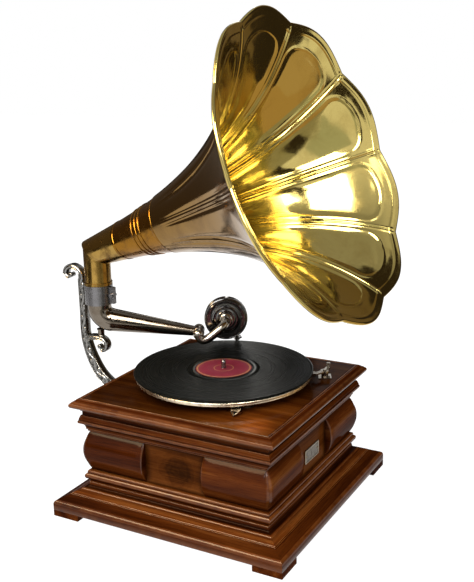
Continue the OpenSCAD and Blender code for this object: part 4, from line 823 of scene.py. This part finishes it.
def horn_bell():
    """Ten petals: doubled ribs at the seams, an embossed panel on each, a turned lip and a wired rim."""
    across, inner_rows, outer_rows = 48, 134, 74
    x = np.linspace(-1, 1, across, endpoint=False)
    u = np.sign(x) * (1 - (1 - np.abs(x)) ** 1.5)
    fine = np.linspace(BELL_START, HORN_L, 3000)
    length = np.concatenate([[0], np.cumsum(np.hypot(np.diff(fine), np.diff(horn_r(fine))))])
    total = length[-1]
    wire = 2.3
    ends = total - wire - PETAL_CUT * (0.5 * np.sin(pi * u / 2) ** 2 + 0.5 * np.abs(u) ** 2.4)

    def sheet(n, power):
        """Distances along the axis and radii of n rows of points, from the neck to the rim."""
        f = 1 - (1 - np.linspace(0, 1, n)[:, None]) ** power
        s = f * ends[None, :]
        t = np.interp(s, length, fine)
        r = horn_r(t)
        half_w = pi * r / PETALS
        w = np.abs(u) * half_w
        seam, rim = half_w - w, ends - s
        grow = smooth(f, 0.03, 0.3)
        rib = 1.5 * np.exp(-((seam - 2.3) / 1.1) ** 2) - 0.5 * np.exp(-(seam / 1.0) ** 2)
        rib = rib * grow * smooth(rim, 1.0, 6.0)
        # Distance from the outline of the embossed panel, which is below 0 inside it
        wide = np.maximum(half_w - 4.4 - 4.6 * f, 0.5)
        corner = np.minimum(15.0, 0.8 * wide)
        qx, qy = w - (wide - corner), corner - (rim - 25.0 - 5.0 * (w / wide) ** 2)
        dist = np.minimum(np.maximum(qx, qy), 0) + np.hypot(np.maximum(qx, 0), np.maximum(qy, 0)) - corner
        bead = 1.5 * np.exp(-(dist / 1.6) ** 2) * grow
        dish = 1.1 * smooth(-dist, 0.0, 9.0) * grow
        lip = 0.8 * smooth(rim, 22.0, 5.0) * smooth(dist, 1.0, 7.0) - 1.2 * np.exp(-((rim - 7.5) / 1.8) ** 2)
        return t, r - rib - bead + dish + lip

    ti, ri = sheet(inner_rows, 1.3)
    to, ro = sheet(outer_rows, 1.2)
    a = np.concatenate([pi / 2 + 2 * pi * k / PETALS + u * pi / PETALS for k in range(PETALS)])
    ti, ri, to, ro = (np.tile(v, (1, PETALS)) for v in (ti, ri, to, ro))
    slope = (horn_r(HORN_L) - horn_r(HORN_L - 0.1)) / 0.1
    along = np.array([1.0, slope]) / hypot(1.0, slope)
    normal = np.array([-along[1], along[0]])
    roll = []
    for th in np.linspace(0.35, 4.6, 10):
        offset = wire * normal + wire * (-normal * cos(th) + along * sin(th))
        roll.append(horn_points(ti[-1] + offset[0], ri[-1] + offset[1], a))
    keep = slice(outer_rows - 3, None, -1)
    points = np.concatenate([horn_points(ti, ri, a[None, :]), np.array(roll),
                             horn_points(to[keep] + 0.8 * normal[0], ro[keep] + 1.0, a[None, :])])
    n_rows, n_cols = points.shape[:2]
    mats = np.where(np.repeat(np.arange(n_rows), n_cols) < inner_rows + 8, 0, 1)
    shape = Shape()
    shape.add(points, grid(n_rows, n_cols, True), mats)
    shape.build("horn_petals", "horn", ["horn_in", "horn_out"], ["horn_bell"], 60)


horn_bell()


def horn_neck():
    """The neck's tube with a sleeve at its joint, and rings given by place, half width and height."""
    shape = Shape()
    rings = [(BELL_START - back, 1.7, 1.1) for back in (46, 38, 30.5)] + [(BELL_START - 3, 2.0, 1.2)]
    joint = ELBOW_L + 4
    places = [np.linspace(ELBOW_L, BELL_START, 40)] + [np.linspace(c - w, c + w, 11) for c, w, h in rings]
    out = []
    for t in np.unique(np.concatenate(places + [[joint - 0.5, joint, joint + 0.4]])):
        lift = 0.0
        for c, w, h in rings:
            if abs(t - c) < w:
                lift = max(lift, h * sqrt(1 - ((t - c) / w) ** 2))
        if t < joint:
            lift = max(lift, 0.6)
        out.append((float(horn_r(t)) + lift, t))
    inner = [(float(horn_r(t)) - 1.0, t) for t in np.linspace(BELL_START, ELBOW_L, 8)]
    lathe(shape, out + inner, MITRE, AX, HX, 96)
    shape.build("horn_throat", "horn", ["neck"], ["horn_neck"], 50)


horn_neck()


# Bracket
def bracket():
    """Cast bracket: strips with raised borders and a running scroll between them, both sides alike."""
    shape = Shape()
    thick, vine_step = 12.0, 34
    y, top_z = PIVOT[1] + COLLAR_R + COLLAR_WALL + 7, ELBOW_TOP + 40.5
    flange_z, z = Z_FRIEZE + 28.5, BRANCH_Z
    # Strips by their middle lines: place, height and width
    stem = [(y, top_z, 12), (y, ELBOW_TOP + 18.5, 12), (y, ELBOW_TOP - 11.5, 12),
            (y + 0.5, ELBOW_TOP - 41.5, 12), (y - 3, ELBOW_TOP - 62.5, 14), (y - 11, ELBOW_TOP - 83.5, 16),
            (y - 24, Z_UPPER + 26, 18),
            (HALF + 62, Z_UPPER + 10, 20), (HALF + 40, Z_UPPER - 3, 21), (HALF + 20, flange_z + 16, 24),
            (HALF + 5, flange_z + 10.7, 27)]
    scroll = [(y, top_z - 6, 12), (y + 0.5, top_z + 6, 9), (y + 6, top_z + 14, 8), (y + 16, top_z + 17.5, 8),
              (y + 26, top_z + 14, 8), (y + 30, top_z + 6, 7), (y + 25, top_z + 1, 6), (y + 20, top_z + 4, 4)]
    branch = [(y - 1, z - 12, 10), (y - 9, z - 5, 9), (216, z - 3.5, 8), (206, z - 5, 8), (200, z - 11, 8),
              (201, z - 19, 7), (208, z - 22, 6), (212, z - 17, 4)]

    def strip(points, n, depth, motif):
        """Adds a strip, with a vine where motif is true and else one ridge; returns its last point."""
        c = through(points, n)
        d = np.gradient(c[:, :2], axis=0)
        d /= np.linalg.norm(d, axis=1)[:, None]
        side = np.stack([-d[:, 1], d[:, 0]], 1)
        s = lengths(c[:, :2])[:, None]
        q = np.linspace(-1, 1, 25)[None, :]
        w = c[:, 2:3]
        border = np.exp(-((np.abs(q) - 0.84) * w / 2 / 0.9) ** 2)
        if motif:
            wave = np.sin(2 * pi * s / vine_step)
            vine = np.exp(-((q - 0.34 * wave) * w / 2 / 1.5) ** 2)
            curl = np.exp(-(((q + 0.36 * wave) * w / 2) ** 2
                            + ((np.mod(s, vine_step / 2) - vine_step / 4) ** 2)) / 5.5)
            leaf = 0.5 * np.maximum(0, np.sin(2 * pi * (s / 5.7 + np.abs(q) * 0.8)))
            leaf = leaf * smooth(0.62 - np.abs(q), 0, 0.3)
            field = np.maximum(np.maximum(vine, 1.25 * curl), leaf)
        else:
            field = 0.8 * np.exp(-(q * w / 2 / 1.6) ** 2)
        h = np.maximum(border, field * smooth(0.78 - np.abs(q), 0, 0.18))
        fade = np.ones_like(s) if motif else smooth(s[-1] - s, 0, 6)
        x = depth / 2 - 1.3 + 1.5 * h * fade
        x *= np.sqrt(np.clip(1 - 0.55 * smooth(np.abs(q), 0.88, 1.0), 0.05, 1))
        yz = c[:, None, :2] + (q * w / 2)[:, :, None] * side[:, None, :]
        near, far = (np.concatenate([v[:, :, None], yz], 2) for v in (x, -x))
        tone = h * 1.1 - 0.24
        points = np.concatenate([near, far[:, ::-1]], 1)
        shape.add(points, capped(*points.shape[:2]), 0, None, np.concatenate([tone, tone[:, ::-1]], 1))
        return c[-1]

    strip(stem, 24, thick, True)
    boss = [(0.4, -5.6), (2.6, -5.4), (3.4, -4.6), (3.4, 4.6), (2.6, 5.4), (0.4, 5.6)]
    for points in (scroll, branch):
        end = strip(points, 14, thick - 1, False)
        lathe(shape, boss, (0, end[0], end[1]), HX, UP, 28)
    pin = [(0.3, -4), (5, -4), (5, 0.6), (4.6, 1), (2.44, 1), (2.44, 6), (1.9, 6.5), (0.3, 6.5)]
    lathe(shape, pin, (0, PIVOT[1], BRANCH_Z), UP, HX, 32)
    steps = [(0.0, 0.0), (0.0, 4.6), (0.5, 5.4), (1.3, 6.0), (3.2, 6.0), (4.0, 5.2)]
    tablet(shape, FLANGE_HALF, FLANGE_HALF, flange_z, 1, steps, 4.0, 5, 5.5, -0.1)
    shape.build("bracket_cast", "case", ["cast"], ["bracket"], 45)


bracket()

# Materials of the nodes that keep their own shape
DRESS = {
    "foot": "feet", "board": "motor_board", "panel_x": "front_panel back_panel",
    "panel_y": "left_panel right_panel", "plain": "bottom_board corner_posts", "grip": "crank_handle",
    "elbow": "horn_elbow", "felt": "felt_mat", "mica": "diaphragm", "plate": "speed_plate",
    "nickel": "crank_escutcheon brake_base brake_lever speed_lever crank_arm stylus_bar motor_pillars",
    "steel": "arm_collar bottom_screws bracket_screws motor_top_plate motor_bottom_plate motor_bolts spindle "
             "mainspring governor_shaft governor_springs crank_shaft winding_arbor ratchet_pawl "
             "governor_brake needle needle_screw",
    "gear": "governor_wheel intermediate_shaft spring_barrel barrel_cover governor_worm governor_weights "
            "arbor_gear crank_gear governor_bearings",
}
for mat, names in DRESS.items():
    for name in names.split():
        data = nodes[name].data
        data.materials.clear()
        data.materials.append(M[mat])
# Their edges, by the bevel's width
EDGES = {0.3: "speed_plate", 0.4: "brake_base brake_lever crank_escutcheon stylus_bar needle_screw",
         0.5: "motor_board arm_collar speed_lever bracket_screws motor_bolts", 0.8: "crank_arm", 1.0: "feet"}
for width, names in EDGES.items():
    for name in names.split():
        mod = nodes[name].modifiers.new("edges", "BEVEL")
        mod.width = width * MM
        mod.segments = 2
        mod.limit_method = "ANGLE"
        mod.angle_limit = radians(40)

# Camera: the photograph's, fitted to the case's corners and the record
SENSOR, FOCAL_PIXELS, PHOTO_HEIGHT = 36.0, 914.45, 582.0
cam = bpy.data.cameras.new("camera")
cam.sensor_fit = "VERTICAL"
cam.sensor_height = cam.sensor_width = SENSOR
cam.lens = SENSOR * FOCAL_PIXELS / PHOTO_HEIGHT
cam.clip_end = 50
yaw, pitch, roll = (radians(v) for v in (29.045, -14.99, -1.17))
fwd = Vector((cos(pitch) * cos(yaw), cos(pitch) * sin(yaw), sin(pitch)))
right = Vector((sin(yaw), -cos(yaw), 0))
upv = right.cross(fwd)
right, upv = right * cos(roll) + upv * sin(roll), -right * sin(roll) + upv * cos(roll)
basis = Matrix((right, upv, -fwd)).transposed()
eye = placed("camera", cam)
eye.matrix_world = Matrix.Translation(Vector((-1.0436, -0.6033, 0.6186))) @ basis.to_4x4()
scene.camera = eye


# Stage: white floor that keeps a soft shadow, white world, lamps and cards for the metal to reflect
WHITE = (1, 1, 1, 1)
FLOOR_SIZE, FLOOR_Z, FLOOR_LEVEL, FLOOR_SHARE = 12, -0.0005, 1.23, 0.8
WORLD_DIM = 0.27


def seen_rays(g):
    """1 for the rays that show the background: the camera's, and those of gloss and glass."""
    rays = g.node("LightPath").outputs
    total = rays["Is Camera Ray"]
    for key in ("Is Glossy Ray", "Is Transmission Ray"):
        total = g.math("MAXIMUM", total, rays[key])
    return total


def square(name, w, h, mat, z=0.0):
    """The mesh of a flat rectangle."""
    x, y = w / 2, h / 2
    me = bpy.data.meshes.new(name)
    me.from_pydata([(-x, -y, z), (x, -y, z), (x, y, z), (-x, y, z)], [], [(0, 1, 2, 3)])
    me.materials.append(mat)
    return me


def stage_floor():
    """White paint that takes the shadow, mixed with a glow for the rays that show the background."""
    g = Graph(bpy.data.materials.new("floor_white"))
    paint = g.node("BsdfDiffuse", {"Color": (0.9, 0.9, 0.9, 1)})
    glow = g.node("Emission", {"Color": WHITE, "Strength": g.mul(seen_rays(g), FLOOR_LEVEL)})
    g.put(g.out, g.node("MixShader", {0: FLOOR_SHARE, 1: paint, 2: glow}))
    o = placed("floor", square("floor", FLOOR_SIZE, FLOOR_SIZE, g.owner, FLOOR_Z))


def stage_world():
    """Dim light for the object and white to look at, which dims to grey overhead like a ceiling."""
    scene.world = bpy.data.worlds.new("studio")
    g = Graph(scene.world, "OutputWorld")
    height = g.node("SeparateXYZ", {0: g.coords("Generated")}).outputs[2]
    dim = g.node("Background", {"Color": WHITE, "Strength": WORLD_DIM})
    white = g.node("Background", {"Color": WHITE, "Strength": g.span(height, 0.45, 0.85, 1.0, 0.4)})
    g.put(g.out, g.node("MixShader", {0: seen_rays(g), 1: dim, 2: white}))


stage_floor()
stage_world()


def lamp(name, place, size, watts, seen=False):
    """A rectangular lamp; reflections show it only where seen is true."""
    light = bpy.data.lights.new(name, "AREA")
    light.shape = "RECTANGLE"
    light.size, light.size_y = size
    light.energy = watts
    placed(name, light, place, CENTRE).visible_glossy = seen


def flag(name, place, target, size, shade):
    """A card that only reflections see, facing the target."""
    g = Graph(bpy.data.materials.new(name))
    g.put(g.out, g.node("Emission", {"Color": shade + (1,)}))
    o = placed(name, square(name, *size, g.owner), place, target)
    o.visible_camera = o.visible_diffuse = o.visible_shadow = False


CENTRE = (0, 0, 0.3)
lamp("key", (-1.9, -0.1, 1.6), (1.2, 1.0), 47, seen=True)
lamp("fill", (-2.2, 1.2, 1.2), (1.0, 1.0), 10)
lamp("top", (-0.6, 0.1, 2.3), (1.2, 1.2), 32)
lamp("front", (0.3, -2.2, 1.0), (1.0, 1.0), 20)
DARK, BROWN, GREY = (0.035, 0.026, 0.018), (0.17, 0.12, 0.065), (0.58, 0.43, 0.25)
# The gaps between the cards on the right give the board and the record their sheen
for name, near, far, shade in (("flag_right_a", -1.8, -0.58, DARK), ("flag_right_b", -0.58, 0.05, BROWN),
                               ("flag_right_c", 0.33, 0.5, DARK), ("flag_right_d", 0.60, 1.42, DARK)):
    middle = (near + far) / 2
    flag(name, (1.05, middle, 1.0), (0, middle, 1.0), (far - near, 2.0), shade)
flag("flag_back", (-0.1, 1.25, 0.5), (-0.1, 0, 0.5), (2.4, 1.0), (0.12, 0.095, 0.07))
flag("flag_low_a", (0.36, -0.9, 0.2), (0, 0, 0.2), (0.36, 0.4), GREY)
flag("flag_low_b", (0.7, -0.65, 0.2), (0, 0, 0.2), (0.54, 0.4), DARK)
flag("flag_floor", (-1.3, -1.95, 0.003), (-1.3, -1.95, -1), (2.4, 3.1), (0.40, 0.39, 0.33))
flag("flag_floor_warm", (0.45, -1.95, 0.003), (0.45, -1.95, -1), (1.1, 3.1), (0.54, 0.37, 0.18))
flag("flag_front", (-0.65, -1.05, 0.16), (0, 0, 0.16), (0.34, 0.32), DARK)
flag("flag_middle", (0.21, -1.44, 0.49), (0, 0, 0.49), (0.25, 0.36), DARK)
flag("flag_edge", (0.37, -1.44, 0.74), (0.37, 0, 0.74), (0.26, 0.24), DARK)
flag("card_sheen", (1.3, 0.8, 0.8), (0, 0.2, 0.3), (0.24, 0.6), (4.2, 4.1, 3.8))
flag("flag_camera", (-1.32, -0.72, 0.88), (0, 0, 0.88), (0.36, 1.44), DARK)
flag("flag_left", (-0.75, 0.75, 0.1), (0, 0.2, 0.1), (0.7, 0.2), (0.05, 0.04, 0.03))
flag("card_glare", (-0.9, -1.12, 1.53), (0, -0.12, 0.48), (0.9, 1.2), (16, 15.5, 14.5))
flag("flag_petal", (-0.62, -1.5, 0.62), (0, 0, 0.6), (0.7, 0.6), (0.55, 0.60, 0.57))
flag("card_edge", (-1.25, 0.9, 1.5), (-0.13, 0, 0.12), (1.0, 0.8), (24, 18, 11))
flag("card_side", (0.08, -1.57, 1.32), (0, -0.12, 0.48), (0.3, 0.35), (4.0, 3.9, 3.6))

scene.view_settings.view_transform = "Standard"
